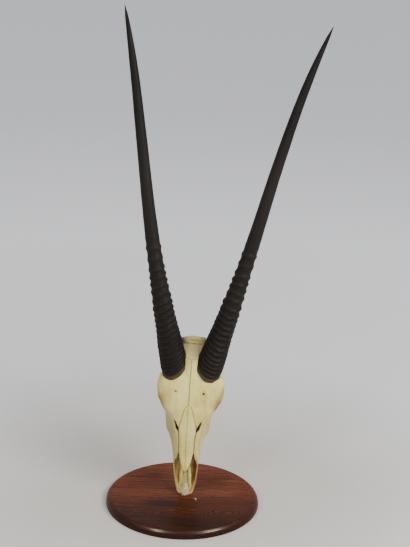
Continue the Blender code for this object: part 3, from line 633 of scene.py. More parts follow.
# the bone that holds the tooth rows
bar(((25, 20, 118), (28, 27, 138), (31.5, 37, 165), (36, 54, 208), (37.5, 60, 226), (37, 60, 234)),
    (4.5, 6.6, 8.0, 8.8, 8.2, 5.5), 9.0)
# the nose bones: two long arched plates over the air passage
hull((
    (73, 0, -46.5, 0.6, -46.4, 1.4, -45.4, 0.8, -43.6, 0, -43.4),
    (84, 0, -47.6, 4.0, -47.2, 7.6, -45.0, 5.0, -43.4, 0, -44.2),
    (99, 0, -48.4, 7.5, -47.8, 13.6, -44.2, 8.0, -43.4, 0, -44.8),
    (122, 0, -49.2, 10, -48.4, 18.4, -43.6, 10, -43.8, 0, -45.2),
    (158, 0, -49.6, 11, -48.8, 18.8, -44.6, 11, -44.0, 0, -45.2),
    (184, 0, -49.6, 12, -49.0, 21.8, -45.4, 12, -44.4, 0, -45.2),
    (200, 0, -49.8, 11, -49.2, 17.4, -46.4, 11, -44.8, 0, -45.2),
    (222, 0, -49.8, 8, -49.4, 13.4, -47.0, 9, -45.0, 0, -45.2),
    (240, 0, -49.4, 3, -49.2, 6.0, -47.8, 4, -45.4, 0, -45.4),
), 0.7, 1.2)
# grooves along the nose bones and the open slits beside them
bar(((19.8, -45.5, 118), (20.2, -46, 140), (20.6, -46.5, 158), (22.6, -46, 180)), (1.6, 1.1, 1.1, 1.5), 1.2,
    (1.0, 0.7, 1.0), True)
bar(((22.4, -42, 180), (25.4, -41, 187), (30.0, -40, 200), (35.6, -39, 214)), (1.5, 3.6, 2.8, 0.9), 0.8,
    (1.0, 0.3, 1.0), True)
# holes: above the eyes with their shallow channels, and before the cheeks
bar(((35, -56, 278), (33, -46, 281), (30, -36, 284)), (2.6, 2.0, 2.0), 2.0, carve=True)
bar(((35.5, -54.0, 274), (34, -52.8, 256), (37, -51.0, 236)), (2.8, 3.2, 2.0), 5.0, carve=True)
bar(((40, 13, 138), (31, 11, 150)), (2.8, 2.4), 2.0, carve=True)
bar(((44, -4, 132), (38, 8, 140)), (1.6, 2.6), 4.0, carve=True)
# short pedicles that carry the horns
bar(((35, -12, 300), (41.4, -18, 333), (46.5, -17.5, 352)), (30, 29.2, 28.4), 7.0)


# the whole skull: the half and its mirror image, then the two horns' seats cut from it, each a
# round core with a ledge about it that follows the sheath's oblique rim
HORN_SEAT = {"left": ((-42.1, -18.0, 333.0), -14.9), "right": ((40.6, -18.0, 333.0), 16.8)}  # base, lean
HORN_SWEEP = (1.0, 4.0)  # degrees back at the base and at the tip
RIM_DROP, RIM_RISE = 22.0, 7.5  # the rim is lower in front, and higher towards the midline
CORE_RADIUS, CORE_TALL, SHEATH_RADIUS = 27.0, 34.0, 32.0
SEAM_GAP = 0.6  # between the bone and the sheath
SEATS_FROM = 296  # the seats are cut in the part of the skull above this height

whole = np.concatenate((field[::-1], field), 0)
corner = np.array((-GX[-1], GY[0], GZ[0]))
near_horns = GZ > SEATS_FROM
x, y, z = np.meshgrid(np.concatenate((-GX[::-1], GX)), GY, GZ[near_horns], indexing="ij", sparse=True)
for (bx, by, bz), lean in HORN_SEAT.values():
    lean, sweep, inner = np.radians(lean), np.radians(HORN_SWEEP[0]), -np.sign(lean)
    up = (np.sin(lean), np.cos(lean) * np.sin(sweep), np.cos(lean) * np.cos(sweep))
    off = [q - b for q, b in zip((x, y, z), (bx, by, bz))]
    high = sum(a * b for a, b in zip(off, up))
    out = [a - high * b for a, b in zip(off, up)]
    far = np.sqrt(sum(a * a for a in out))
    rim = RIM_DROP * out[1] / np.maximum(far, 1) + RIM_RISE * inner * out[0] / np.maximum(far, 1)
    wall = np.maximum(rim - high, CORE_RADIUS - SEAM_GAP - far)
    above = rim * 0.8 + CORE_TALL - 1 - high
    taken = np.maximum(np.minimum(wall, above), far - SHEATH_RADIUS - SEAM_GAP)
    whole[:, :, near_horns] = -lower(-whole[:, :, near_horns], taken, 1.0)


def slope(values, at):
    """The direction in which a field grows, from its change over a cell along each axis."""
    steps = np.identity(3) * 0.5
    return np.stack([blended(values, at + s) - blended(values, at - s) for s in steps], 1)


# the quads are evened out: each point moves towards its neighbours' mean, then back to the
# surface along the slope; then the bone's own unevenness lifts them, rougher on the nape
points, quads = net(whole, corner)
edges = np.concatenate((quads, np.roll(quads, -1, 1)), 1).reshape(-1, 2, 4).transpose(0, 2, 1).reshape(-1, 2)
ends, others = np.concatenate((edges, edges[:, ::-1])).T
neighbours = np.bincount(ends, minlength=len(points))
for _ in range(3):
    mean = np.stack([np.bincount(ends, points[others, k], len(points)) for k in range(3)], 1)
    points += 0.6 * (mean / neighbours[:, None] - points)
    at = (points - corner) / CELL
    uphill = slope(whole, at)
    points -= (blended(whole, at) / np.maximum((uphill**2).sum(1), 0.1))[:, None] * uphill * CELL
uphill = slope(whole, (points - corner) / CELL)
outward = uphill / np.maximum(np.linalg.norm(uphill, axis=1), 1e-6)[:, None]
sx, sy, sz = points.T
nape = along(sz, 384, 392)
waves = 0.30 * drift(points, 21.0, 31) + (0.16 + 1.7 * nape) * drift(points, 6.5, 32)
points += outward * waves[:, None]

# what the bone's finish needs at each point: how far it is from the sutures, and its stains and painted shade
MIDDLE = ((60, 0.0), (103, -0.2), (139, -1.5), (185, -1.2), (224, -0.8), (244, -1.5), (259, -1.8),
          (281, -0.9), (312, -0.8), (342, -0.4), (384, -1.9))  # height, sideways place of the seam
NOSE_BONES = ((73, 0.0), (84, 7.6), (99, 13.8), (122, 18.6), (158, 19.0), (185, 22.3), (197, 20.4),
              (206, 17.2), (226, 12.4), (236, 9.8), (242, 7.2), (246, 3.8), (247, 0.0))  # height, half width
PASSAGE = (16, 60, 100, 145, 190, 226), (-10, -18, -20, -14, -6, 4)  # its middle: heights, depths
# the dark lines round the vessels' holes and the dark in the holes are painted shade
VESSELS = ((34.6, 279.0, 1.8), (-34.6, 282.5, 0.3), (36.2, 286.5, -0.6))  # place, radius of the line round it
HOLES = ((34.6, 279.0, 2.0, 1.0), (-34.6, 282.5, 2.4, 0.5), (36.2, 286.5, 1.0, 0.8),
         (44.5, 271.5, 0.9, 0.7))  # place, radius and strength of the dark in them
GREASE = ((60, -28, 253, 11), (66, -22, 243, 9), (-63, -20, 256, 12), (-58, -16, 240, 10),
          (75, -20, 281, 7))  # place and radius of the patches it left
# painted shade on the eye rims, put on in brown
EYE_RIM_PAINTED_SHADE = ((-61, -26, 252, 12.65), (70, -20, 266, 12.65))  # the same for the brown on the eye rims
SKEW, SKEW_FROM_TO = 0.06, (30, 90, 200, 250)  # the muzzle grew a little to one side


def masked(distance, outside):
    """A signed distance that is kept large beyond a suture's end, so that no line shows."""
    return np.where(distance < 0, -1, 1) * np.hypot(distance, np.maximum(outside, 0))


def patches(places):
    """Soft round patches: the sum of the bell curves of the distance to each middle."""
    return sum(np.exp(-((points - (a, b, c)) ** 2).sum(1) / (2 * r * r)) for a, b, c, r in places)


middle = masked(sx - np.interp(sz, *np.transpose(MIDDLE)), sz - np.where(sy < 30, 356, 228))
nose = masked(np.abs(sx) - np.interp(sz, *np.transpose(NOSE_BONES)), np.maximum(sy + 40, 75 - sz))
nose *= np.interp(sz, (185, 215), (0.8, 1.6))  # the open seam low down closes to a thin line
for a, c, r in VESSELS:
    pit = masked(np.hypot(sx - a, sz - c) - r, sy + 30)
    nose = np.where(np.abs(pit) < np.abs(nose), pit, nose)
jaw_end = np.maximum(np.maximum(sy - 6, 60 - sz), 10.0 * (np.abs(outward[:, 0]) < 0.3))
jaw = masked((sz - 74) - 1.02 * (5 - sy), jaw_end)
crown = masked(sz - 358 - 0.016 * sx**2, sy - 30)
# a painted shadow: the dark line under the crest's lip, drawn like a suture
crest_shadow_line = 1.7 * masked(sz - 388.5 - 0.001 * sx**2 - 2 * drift(points, 14.0, 33), sy - 20)
cheek = masked(sz - 214 - 0.9 * (np.abs(sx) - 36), np.maximum(35 - np.abs(sx), sy + 6))
inner = np.stack((0 * sz, np.interp(sz, *PASSAGE), sz), 1) - points
inner = (inner * outward).sum(1) / np.linalg.norm(inner, axis=1)  # 1 on a wall that faces it
hollow = np.clip(inner * 3, 0, 1) * (np.abs(sx) < 31) * along(sz, 4, 14) * along(sz, 250, 220)
low = along(sz, 75, 25)
cloud = 0.5 + 0.5 * drift(points, 17.0, 34)
ochre = np.clip(patches(GREASE) * (1.0 + 0.9 * cloud) + 0.8 * hollow * low, 0, 1)
# brown: deep in the nose, less on the palate's ridges; on the edges of the muzzle, more on one
# side; on the knobs of the nape; and painted shade in the holes and on the rims of the eyes
edge = along(np.abs(sx), 14, 23) * along(sz, 104, 82) * along(sz, 2, 18)
knobs = np.maximum(along(np.abs(sx), 14, 26), 0.12) * along(sz, 384, 392)
ridge = 1 - 0.8 * np.exp(-(((np.abs(sx) - 10) / 3.5) ** 2)) * (sy > -12)
# painted shade in the holes above the eyes and before the cheeks
painted_pit_shade = sum(share * np.exp(-((sx - a) ** 2 + (sz - c) ** 2) / (2 * r * r)) * (sy < -30)
           for a, c, r, share in HOLES)
brown = 0.54 * hollow * (1 - low) * ridge + np.where(sx > 0, 0.75, 0.22) * edge * (0.3 + cloud)
brown = np.clip(brown + 0.7 * knobs * (0.3 + cloud) + painted_pit_shade + 0.55 * patches(EYE_RIM_PAINTED_SHADE), 0, 1)
# grey: high on the head; painted shade down one cheek; and over the muzzle, more on its sides, where it is
# partly painted shade
grey_and_painted_shade = 0.55 * along(sz, 342, 366) * (0.5 + cloud) + 0.45 * along(sx, -20, -40) * along(sz, 260, 200)
grey_and_painted_shade += np.where(np.abs(sx) < 20, 0.16, 0.30) * np.interp(sz, (88, 116, 180, 240), (0, 1, 1, 0))

# Bone, boiled and bleached: a dull cream, warmer where grease stayed, brown in the hollows, with painted
# shade on the eye rims, in the holes, under the crest and down one side. It scatters light softly, has a
# faint grain along its length and pinholes for blood vessels.
bone, tree, surface = finish("bleached_bone")
place = node(tree, "TexCoord", {}).node.outputs["Object"]
place = node(tree, "Mapping", {"Vector": place, "Scale": (1000, 1000, 1000)})
cloudy = node(tree, "Mapping", {"Vector": place, "Scale": (0.030, 0.030, 0.016)})
cloudy = node(tree, "TexNoise", {"Vector": cloudy, "Scale": 1.0, "Detail": 4.0, "Roughness": 0.55})
tint = node(tree, "ValToRGB", {"Fac": cloudy}, ramp=(
    (0.30, linear("#c6b461")), (0.48, linear("#e0d279")), (0.66, linear("#ecdf90"))))
speckle = node(tree, "TexNoise", {"Vector": place, "Scale": 0.45, "Detail": 3.0, "Roughness": 0.6})
fleck = node(tree, "MapRange", {"Value": speckle, "From Min": 0.35, "From Max": 0.75, "To Max": 0.35})
tint = node(tree, "Mix", {"Factor": fleck, "A": tint, "B": linear("#bfa965")}, data_type="RGBA")
streaks = node(tree, "Mapping", {"Vector": place, "Scale": (0.55, 0.55, 0.022)})
streaks = node(tree, "TexNoise", {"Vector": streaks, "Scale": 1.0, "Detail": 3.0, "Roughness": 0.6})
streaks = node(tree, "MapRange", {"Value": streaks, "From Min": 0.50, "From Max": 0.72, "To Max": 0.45})
tint = node(tree, "Mix", {"Factor": streaks, "A": tint, "B": linear("#a99552")}, data_type="RGBA")
stain = node(tree, "Attribute", {}, attribute_name="stain").node.outputs["Vector"]
stain = node(tree, "SeparateXYZ", {"Vector": stain}).node.outputs
amount = node(tree, "Math", {0: stain["X"], 1: 0.85}, operation="MULTIPLY")
tint = node(tree, "Mix", {"Factor": amount, "A": tint, "B": linear("#8b6a2e")}, data_type="RGBA")
amount = node(tree, "Math", {0: stain["Y"], 1: 0.95}, operation="MULTIPLY")
tint = node(tree, "Mix", {"Factor": amount, "A": tint, "B": linear("#7a4525")}, data_type="RGBA")
# grey, which down one cheek and on the muzzle's sides is painted shade
tint = node(tree, "Mix", {"Factor": stain["Z"], "A": tint, "B": linear("#9a8d6c")}, data_type="RGBA")
weave = node(tree, "TexNoise", {"Vector": place, "Scale": 0.50, "Detail": 2.0})
weave = node(tree, "MapRange", {"Value": weave, "To Min": -1.6, "To Max": 1.6})
lines = 0.0
for name in ("sutures_in_front", "sutures_and_crest_shadow"):
    found = node(tree, "Attribute", {}, attribute_name=name).node.outputs["Vector"]
    found = node(tree, "SeparateXYZ", {"Vector": found}).node.outputs
    for axis, width, strength in zip("XYZ", (0.75, 1.2, 0.6), (0.72, 1.0, 0.6)):
        far = node(tree, "Math", {0: found[axis], 1: weave}, operation="ADD")
        far = node(tree, "Math", {0: far}, operation="ABSOLUTE")
        line = node(tree, "MapRange", {"Value": far, "From Min": 2.2 * width, "From Max": 0.3 * width,
                                       "To Max": strength}, interpolation_type="SMOOTHSTEP")
        lines = node(tree, "Math", {0: line, 1: lines}, operation="MAXIMUM")
amount = node(tree, "Math", {0: lines, 1: 0.78}, operation="MULTIPLY")
# the sutures darken the bone, and so does the painted shadow under the crest
tint = node(tree, "Mix", {"Factor": amount, "A": tint, "B": linear("#5d4b2b")}, data_type="RGBA")
holes = node(tree, "TexVoronoi", {"Vector": place, "Scale": 0.16}).node.outputs["Distance"]
holes = node(tree, "MapRange", {"Value": holes, "From Min": 0.085, "From Max": 0.03})
gate = node(tree, "MapRange", {"Value": cloudy, "From Min": 0.50, "From Max": 0.58})
holes = node(tree, "Math", {0: holes, 1: gate}, operation="MULTIPLY")
tint = node(tree, "Mix", {"Factor": holes, "A": tint, "B": linear("#54401f")}, data_type="RGBA")
tree.links.new(tint, surface.inputs["Base Color"])
dull = node(tree, "MapRange", {"Value": speckle, "To Min": 0.50, "To Max": 0.72})
tree.links.new(dull, surface.inputs["Roughness"])
grain = node(tree, "Mapping", {"Vector": place, "Scale": (1.1, 1.1, 0.14)})
grain = node(tree, "TexNoise", {"Vector": grain, "Scale": 1.0, "Detail": 3.0})
relief = node(tree, "Math", {0: grain, 1: lines}, operation="SUBTRACT")
relief = node(tree, "Math", {0: relief, 1: holes}, operation="SUBTRACT")
relief = node(tree, "Bump", {"Height": relief, "Strength": 0.35, "Distance": 0.0006})
tree.links.new(relief, surface.inputs["Normal"])
surface.inputs["Specular IOR Level"].default_value = 0.28
surface.inputs["Subsurface Weight"].default_value = 0.08
surface.inputs["Subsurface Radius"].default_value = (0.004, 0.0025, 0.0015)

skew = SKEW * np.clip(sy + 40, 0, 60) * np.interp(sz, SKEW_FROM_TO, (0, 1, 1, 0))
skull = piece("skull", stand(points - skew[:, None] * (1, 0, 0)), quads.tolist(), bone)
BONE_LAYERS = {"sutures_in_front": (middle, nose, cheek), "sutures_and_crest_shadow": (crown, crest_shadow_line, jaw),
               "stain": (ochre, brown, grey_and_painted_shade)}
for name, values in BONE_LAYERS.items():
    layer = skull.data.attributes.new(name, "FLOAT_VECTOR", "POINT")
    layer.data.foreach_set("vector", np.stack(values, 1).astype(np.float32).ravel())
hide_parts("skull")


# TEETH ---------------------------------------------------------------------------------
# Six grinding teeth in each upper jaw, three premolars and three molars, grown into the bone.
# Ribbed walls of enamel, and a worn top where the softer dentine lies open in each lobe.
TEETH = (  # name, length, width, lobes
    ("premolar_2", 10.5, 8.5, 1), ("premolar_3", 13.0, 11.5, 1), ("premolar_4", 12.5, 13.5, 1),
    ("molar_1", 16.5, 15.5, 2), ("molar_2", 20.5, 17.0, 2), ("molar_3", 20.5, 16.5, 2),
)
ROW_START, ROW_END = np.array((26.5, 25.0, 134.0)), np.array((37.0, 62.0, 224.0))
CROWN, ROOT = 12.0, 8.0  # out of the bone and into it
CUSP = 1.7  # how strongly the grinding face slopes across and falls to the ends of its lobes
GROOVE_DEEP, PIT_DEEP = 1.3, 0.6
GROOVE_AT, GROOVE_WIDE, PIT_WIDE = 0.27, 0.085, 0.10  # as shares of a lobe's length

row_way = (ROW_END - ROW_START) / np.linalg.norm(ROW_END - ROW_START)
down = np.array((0.0, 1.0, 0.0)) - row_way * row_way[1]
down /= np.linalg.norm(down)
across = np.cross(row_way, down)


def tooth(middle, length, width, lobes, side, seed, columns=56):
    """One tooth: a rounded box of ribs and furrows, drawn up from the root to the crown and
    then in over the grinding face, which dips along an oval in each lobe and in its middle."""
    turn = np.linspace(0, 2 * np.pi, columns, endpoint=False)
    u = np.sign(np.cos(turn)) * np.abs(np.cos(turn)) ** 0.62
    v = np.sign(np.sin(turn)) * np.abs(np.sin(turn)) ** 0.72
    rib = np.exp(-((u / 0.17) ** 2)) if lobes == 2 else 0.4 * np.exp(-((u / 0.2) ** 2))
    v = v * np.where(v > 0, 1 + 0.10 * rib + 0.08 * np.abs(u) ** 6, 1 - 0.26 * rib)
    rise = np.concatenate((np.linspace(-ROOT, CROWN, 18), np.full(14, CROWN)))
    wall = np.interp(rise[:18], (-ROOT, 0, 9, CROWN - 0.6, CROWN), (0.84, 0.97, 1.0, 0.98, 0.94))
    size = np.concatenate((wall, np.linspace(0.90, 0.06, 14)))[:, None]
    u, v = (u * size * length / 2).ravel(), (v * size * width / 2).ravel()
    rise = np.repeat(rise, columns)
    top = along(rise, CROWN - 1.5, CROWN)
    lobe = np.abs(u) - length / 4 if lobes == 2 else u
    bow = np.hypot(lobe, 0.8 * (v + 0.10 * width)) / (length / lobes)
    groove = np.exp(-(((bow - GROOVE_AT) / GROOVE_WIDE) ** 2)) * top
    pit = np.exp(-((bow / PIT_WIDE) ** 2)) * top
    slant = v / width * 1.3 - 0.35 * (np.abs(lobe) * lobes / length) * 2
    rise = rise + top * CUSP * slant - GROOVE_DEEP * groove - PIT_DEEP * pit
    grown = middle + u[:, None] * row_way + rise[:, None] * down + v[:, None] * across
    grown += (0.12 * drift(grown, 3.0, seed))[:, None] * across
    ends = grown[:columns].mean(0), grown[-columns:].mean(0)
    points = np.concatenate((ends[:1], grown, ends[1:])) * (side, 1, 1)
    worn = np.stack((groove + pit, top, rise), 1)
    worn = np.concatenate((worn[:columns].mean(0)[None], worn, worn[-columns:].mean(0)[None]))
    faces = tube_faces(len(size), columns)
    return points, faces if side < 0 else [face[::-1] for face in faces], worn


# Tooth enamel: hard, a little glossy, ivory with brown tartar at the gum and dark stain in the
# furrows, and the softer, browner dentine showing where the top is worn.
enamel, tree, surface = finish("stained_enamel")
place = node(tree, "TexCoord", {}).node.outputs["Object"]
worn = node(tree, "Attribute", {}, attribute_name="worn").node.outputs["Vector"]
worn = node(tree, "SeparateXYZ", {"Vector": worn}).node.outputs
mottle = node(tree, "TexNoise", {"Vector": place, "Scale": 380.0, "Detail": 4.0})
tint = node(tree, "ValToRGB", {"Fac": mottle}, ramp=((0.32, linear("#b79f68")), (0.62, linear("#e0d5b0"))))
gum = node(tree, "Math", {0: mottle, 1: 7.0}, operation="MULTIPLY")
gum = node(tree, "Math", {0: worn["Z"], 1: gum}, operation="SUBTRACT")
gum = node(tree, "MapRange", {"Value": gum, "From Min": 2.0, "From Max": -3.0, "To Max": 0.75})
tint = node(tree, "Mix", {"Factor": gum, "A": tint, "B": linear("#5b4322")}, data_type="RGBA")
soft = node(tree, "Math", {0: worn["Y"], 1: 0.45}, operation="MULTIPLY")
tint = node(tree, "Mix", {"Factor": soft, "A": tint, "B": linear("#a98950")}, data_type="RGBA")
dark = node(tree, "Math", {0: worn["X"], 1: 0.9}, operation="MULTIPLY")
tint = node(tree, "Mix", {"Factor": dark, "A": tint, "B": linear("#33230f")}, data_type="RGBA")
tree.links.new(tint, surface.inputs["Base Color"])
polish = node(tree, "MapRange", {"Value": mottle, "To Min": 0.22, "To Max": 0.50})
tree.links.new(polish, surface.inputs["Roughness"])
pitted = node(tree, "TexNoise", {"Vector": place, "Scale": 1500.0, "Detail": 2.0})
pitted = node(tree, "Bump", {"Height": pitted, "Strength": 0.25, "Distance": 0.0003})
tree.links.new(pitted, surface.inputs["Normal"])
surface.inputs["IOR"].default_value = 1.62

gap = (np.linalg.norm(ROW_END - ROW_START) - sum(length for _, length, _, _ in TEETH)) / (len(TEETH) - 1)
for sign, name in ((-1, "left"), (1, "right")):
    at = ROW_START.copy()
    for i, (tooth_name, length, width, lobes) in enumerate(TEETH):
        points, faces, worn = tooth(at + row_way * length / 2, length + gap, width, lobes, sign, 40 + i)
        made = piece(f"{tooth_name}_{name}", stand(points), faces, enamel)
        layer = made.data.attributes.new("worn", "FLOAT_VECTOR", "POINT")
        layer.data.foreach_set("vector", worn.astype(np.float32).ravel())
        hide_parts(f"{tooth_name}_{name}")
        at = at + row_way * (length + gap)


# HORNS ---------------------------------------------------------------------------------
# Two long, nearly straight sheaths of horn, hollow at the foot where they sit on the bone. The
# lower third has about twenty rings, rounded and close together near the rim and stronger and
# wider apart higher up; above them the horn runs out smooth to a fine point.
HORNS = {  # length, the lean to the side at five places from the rim to the tip, seed
    "left": (872.0, (-14.9, -12.3, -9.0, -9.3, -12.8), 50),
    "right": (868.0, (16.8, 14.9, 13.2, 15.9, 22.4), 60),
}
GIRTH = ((0, 32.0), (0.03, 31.5), (0.06, 30.2), (0.10, 27.0), (0.15, 24.7), (0.20, 23.2), (0.28, 19.4),
         (0.36, 17.5), (0.45, 15.7), (0.55, 14.3), (0.65, 13.1), (0.75, 11.5), (0.85, 9.5), (0.93, 6.3),
         (0.97, 4.0), (1.0, 0.6))  # share of the length, radius
RIDGES = (4, 13, 22, 31.5, 41.5, 52, 63, 75, 87.5, 100.5, 114, 127.5, 141, 155, 172,
          194, 212, 230, 247, 273, 298)  # the rings' heights above the rim
RIDGE_HEIGHT = ((0, 1.4), (15, 2.4), (60, 3.1), (145, 3.1), (172, 3.0), (298, 2.5), (318, 0.8), (350, 0.0))
RIDGE_SWAY, RIDGE_SHIVER = 3.2, 1.7  # how far the rings run up and down, in long waves and short
RIPPLES, RIPPLE_HEIGHT = 3, 0.20  # fine lines to each ring, and how far they stand out
FLAKES_UP_TO, FLAKE_WIDE, FLAKE_HEIGHT = 10.0, 2.4, 0.7  # the layers that split at the rim
WAVES = ((26.0, 0.5), (17.0, 1.0), (7.0, 1.0))  # size of the unevenness, and its squeeze along the horn
RIM_FADE = 300.0  # the rings lie square to the horn from here up
SIDES = 96


def horn(side, length, leans, seed):
    """A horn's wall: rings of points square to a middle line whose lean is read between five
    places. The radius follows the girth, and ridges stand on it: the raised cosine of their count
    to the power 1.4, and a low one between. Heights near the rim lie oblique like it. The
    unevenness is noise read on a straight cylinder of 30 mm radius."""
    share = np.linspace(0, 1, 801)
    lean = np.radians(np.interp(share, np.linspace(0, 1, 5), leans))
    sweep = np.radians(np.interp(share, (0, 1), HORN_SWEEP))
    way = np.stack((np.sin(lean), np.cos(lean) * np.sin(sweep), np.cos(lean) * np.cos(sweep)), 1)
    step = np.vstack((np.zeros(3), (way[1:] + way[:-1]) * length / 1600))
    line = np.array(HORN_SEAT[side][0]) + np.cumsum(step, 0)
    tip = length - np.array((2.4, 1.2, 0.4))
    up = np.concatenate((np.arange(1.0, 335, 0.75), np.linspace(336, length - 4, 210), tip))
    cup = np.array((CORE_TALL, CORE_TALL - 0.6, CORE_TALL - 2.5, CORE_TALL - 6.5,
                    20.0, 8.0, 1.0, -0.6, -1.0, -0.7, 0.2))
    cup_radius = (6.0, 14.0, 21.0, 25.6, 26.8, 27.0, 27.2, 28.0, 29.4, 30.8, 31.6)
    high = np.concatenate((cup, up))[:, None]
    turn = np.linspace(0, 2 * np.pi, SIDES, endpoint=False)
    inner = -np.sign(leans[0])
    around = np.stack(np.broadcast_arrays(30 * np.cos(turn), 30 * np.sin(turn), high), 2).reshape(-1, 3)
    sway, sag, fine = (drift(around * (1, 1, squeeze), size, seed + i).reshape(len(high), SIDES)
                       for i, (size, squeeze) in enumerate(WAVES))
    outside = np.arange(len(high))[:, None] >= len(cup)
    girth = np.interp(high / length, *np.transpose(GIRTH))
    uneven = high + (RIDGE_SWAY * sway + RIDGE_SHIVER * fine) * along(high, 0, 12)
    phase = np.interp(uneven, RIDGES, np.arange(len(RIDGES)))
    phase += np.maximum(high - RIDGES[-1], 0) / 24
    wave = np.cos(2 * np.pi * phase)
    bead = (0.5 + 0.5 * wave) ** 1.4 + 0.22 * (0.5 - 0.5 * wave) ** 3
    height = np.interp(high, *np.transpose(RIDGE_HEIGHT)) * (1 + 0.40 * sag)
    ripple = 0.5 + 0.5 * np.cos(2 * np.pi * (RIPPLES * phase + 0.3 * fine))
    band = along(high, FLAKES_UP_TO, FLAKES_UP_TO / 2)
    flakes = ((high + 2.0 * sag + 0.8 * fine) / FLAKE_WIDE) % 1
    radius = girth + height * (bead - 0.5) * (1 - 0.7 * band)
    radius += RIPPLE_HEIGHT * ripple * np.clip(height, 0, 1)
    radius += FLAKE_HEIGHT * band * flakes + 0.22 * sag * along(girth, 0, 12)
    radius *= 1 + 0.012 * np.cos(2 * turn + 0.4) * along(high, 0, 200)
    lip = np.concatenate((cup_radius, np.zeros(len(up))))[:, None]
    radius = np.where(outside, radius, lip)
    level = high + 0.9 * sag * (1 - along(high, 0, 12))
    rise = -RIM_DROP * np.cos(turn) + RIM_RISE * inner * np.sin(turn)
    tilt = np.where(outside | (high < 2), 1 - along(high, 0, RIM_FADE), 0.8)
    at = np.clip((level + rise * tilt) / length, -0.05, 1)
    middle = np.stack([np.interp(at, share, line[:, k]) for k in range(3)], 2)
    middle += np.minimum(at, 0)[..., None] * length * way[0]
    ahead = np.stack([np.interp(at, share, way[:, k]) for k in range(3)], 2)
    right = np.cross((0.0, 1.0, 0.0), ahead)
    right /= np.linalg.norm(right, axis=2, keepdims=True)
    front = np.cross(right, ahead)
    points = middle + (radius * np.cos(turn))[..., None] * front + (radius * np.sin(turn))[..., None] * right
    points = np.concatenate((points[:1].mean(1), points.reshape(-1, 3), points[-1:].mean(1) + (0, 0, 0.4)))
    grown = np.stack(np.broadcast_arrays(radius * np.cos(turn), radius * np.sin(turn), high), 2)
    grown = np.concatenate((grown[:1].mean(1), grown.reshape(-1, 3), grown[-1:].mean(1)))
    relief = np.stack(np.broadcast_arrays(bead * np.clip(height, 0, 1), band * flakes, sag), 2)
    relief = np.concatenate((relief[:1].mean(1), relief.reshape(-1, 3), relief[-1:].mean(1)))
    return points, tube_faces(len(high), SIDES), grown, relief


# Keratin, the stuff of nails: nearly black brown, laid down in thin cones, so fine lines run
# round it low down and fibres run along it higher up; a low satin sheen, and rubbed lighter on the
# ridges, which is partly a painted sheen; greyer towards the tip, and thin and brown at the rim where light
# gets into it.
keratin, tree, surface = finish("dark_keratin")
grown = node(tree, "Attribute", {}, attribute_name="grown").node.outputs["Vector"]
relief = node(tree, "Attribute", {}, attribute_name="relief").node.outputs["Vector"]
parts = node(tree, "SeparateXYZ", {"Vector": relief}).node.outputs
high = node(tree, "SeparateXYZ", {"Vector": grown}).node.outputs["Z"]
cloudy = node(tree, "Mapping", {"Vector": grown, "Scale": (0.06, 0.06, 0.02)})
cloudy = node(tree, "TexNoise", {"Vector": cloudy, "Scale": 1.0, "Detail": 4.0})
tall = node(tree, "MapRange", {"Value": high, "From Max": 870.0})
tint = node(tree, "ValToRGB", {"Fac": tall}, ramp=(
    (0.0, linear("#241b14")), (0.025, linear("#130e0b")), (0.12, linear("#0f0b09")),
    (0.35, linear("#161311")), (0.52, linear("#1c1916")), (0.70, linear("#100e0d")),
    (1.0, linear("#0b0a09"))))
layers = node(tree, "Mapping", {"Vector": grown, "Scale": (0.05, 0.05, 0.9)})
layers = node(tree, "TexNoise", {"Vector": layers, "Scale": 1.0, "Detail": 4.0, "Roughness": 0.6})
fibres = node(tree, "Mapping", {"Vector": grown, "Scale": (0.9, 0.9, 0.012)})
fibres = node(tree, "TexNoise", {"Vector": fibres, "Scale": 1.0, "Detail": 4.0, "Roughness": 0.6})
above = node(tree, "MapRange", {"Value": high, "From Min": 250.0, "From Max": 360.0})
lines = node(tree, "Mix", {"Factor": above, "A": layers, "B": fibres})
streak = node(tree, "MapRange", {"Value": lines, "From Min": 0.35, "From Max": 0.70, "To Max": 0.55})
tint = node(tree, "Mix", {"Factor": streak, "A": tint, "B": linear("#221b16")}, data_type="RGBA")
# the ridges rubbed lighter, partly a painted sheen
rub_and_painted_sheen = node(tree, "Math", {0: parts["X"], 1: cloudy}, operation="MULTIPLY")
rub_and_painted_sheen = node(tree, "MapRange", {"Value": rub_and_painted_sheen, "From Min": 0.25, "From Max": 0.70, "To Max": 0.4})
tint = node(tree, "Mix", {"Factor": rub_and_painted_sheen, "A": tint, "B": linear("#2a231d")}, data_type="RGBA")
rim = node(tree, "MapRange", {"Value": high, "From Min": 11.0, "From Max": 1.0, "To Max": 0.9})
rim = node(tree, "Math", {0: rim, 1: cloudy}, operation="MULTIPLY")
rim = node(tree, "Math", {0: rim, 1: parts["Y"]}, operation="ADD")
rim = node(tree, "Math", {0: rim, 1: layers}, operation="MULTIPLY")
rim = node(tree, "Math", {0: rim, 1: 1.5}, operation="MULTIPLY", use_clamp=True)
tint = node(tree, "Mix", {"Factor": rim, "A": tint, "B": linear("#54432f")}, data_type="RGBA")
tree.links.new(tint, surface.inputs["Base Color"])
sheen = node(tree, "MapRange", {"Value": cloudy, "From Min": 0.3, "From Max": 0.7,
                                "To Min": 0.48, "To Max": 0.66})
tree.links.new(sheen, surface.inputs["Roughness"])
shape = node(tree, "Bump", {"Height": lines, "Strength": 0.55, "Distance": 0.0007})
tree.links.new(shape, surface.inputs["Normal"])
surface.inputs["IOR"].default_value = 1.54
surface.inputs["Specular IOR Level"].default_value = 0.12

for name, (length, leans, seed) in HORNS.items():
    points, faces, grown, relief = horn(name, length, leans, seed)
    sheath = piece(f"horn_sheath_{name}", stand(points), faces, keratin)
    for layer_name, values in (("grown", grown), ("relief", relief)):
        layer = sheath.data.attributes.new(layer_name, "FLOAT_VECTOR", "POINT")
        layer.data.foreach_set("vector", values.astype(np.float32).ravel())
    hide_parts(f"horn_sheath_{name}")


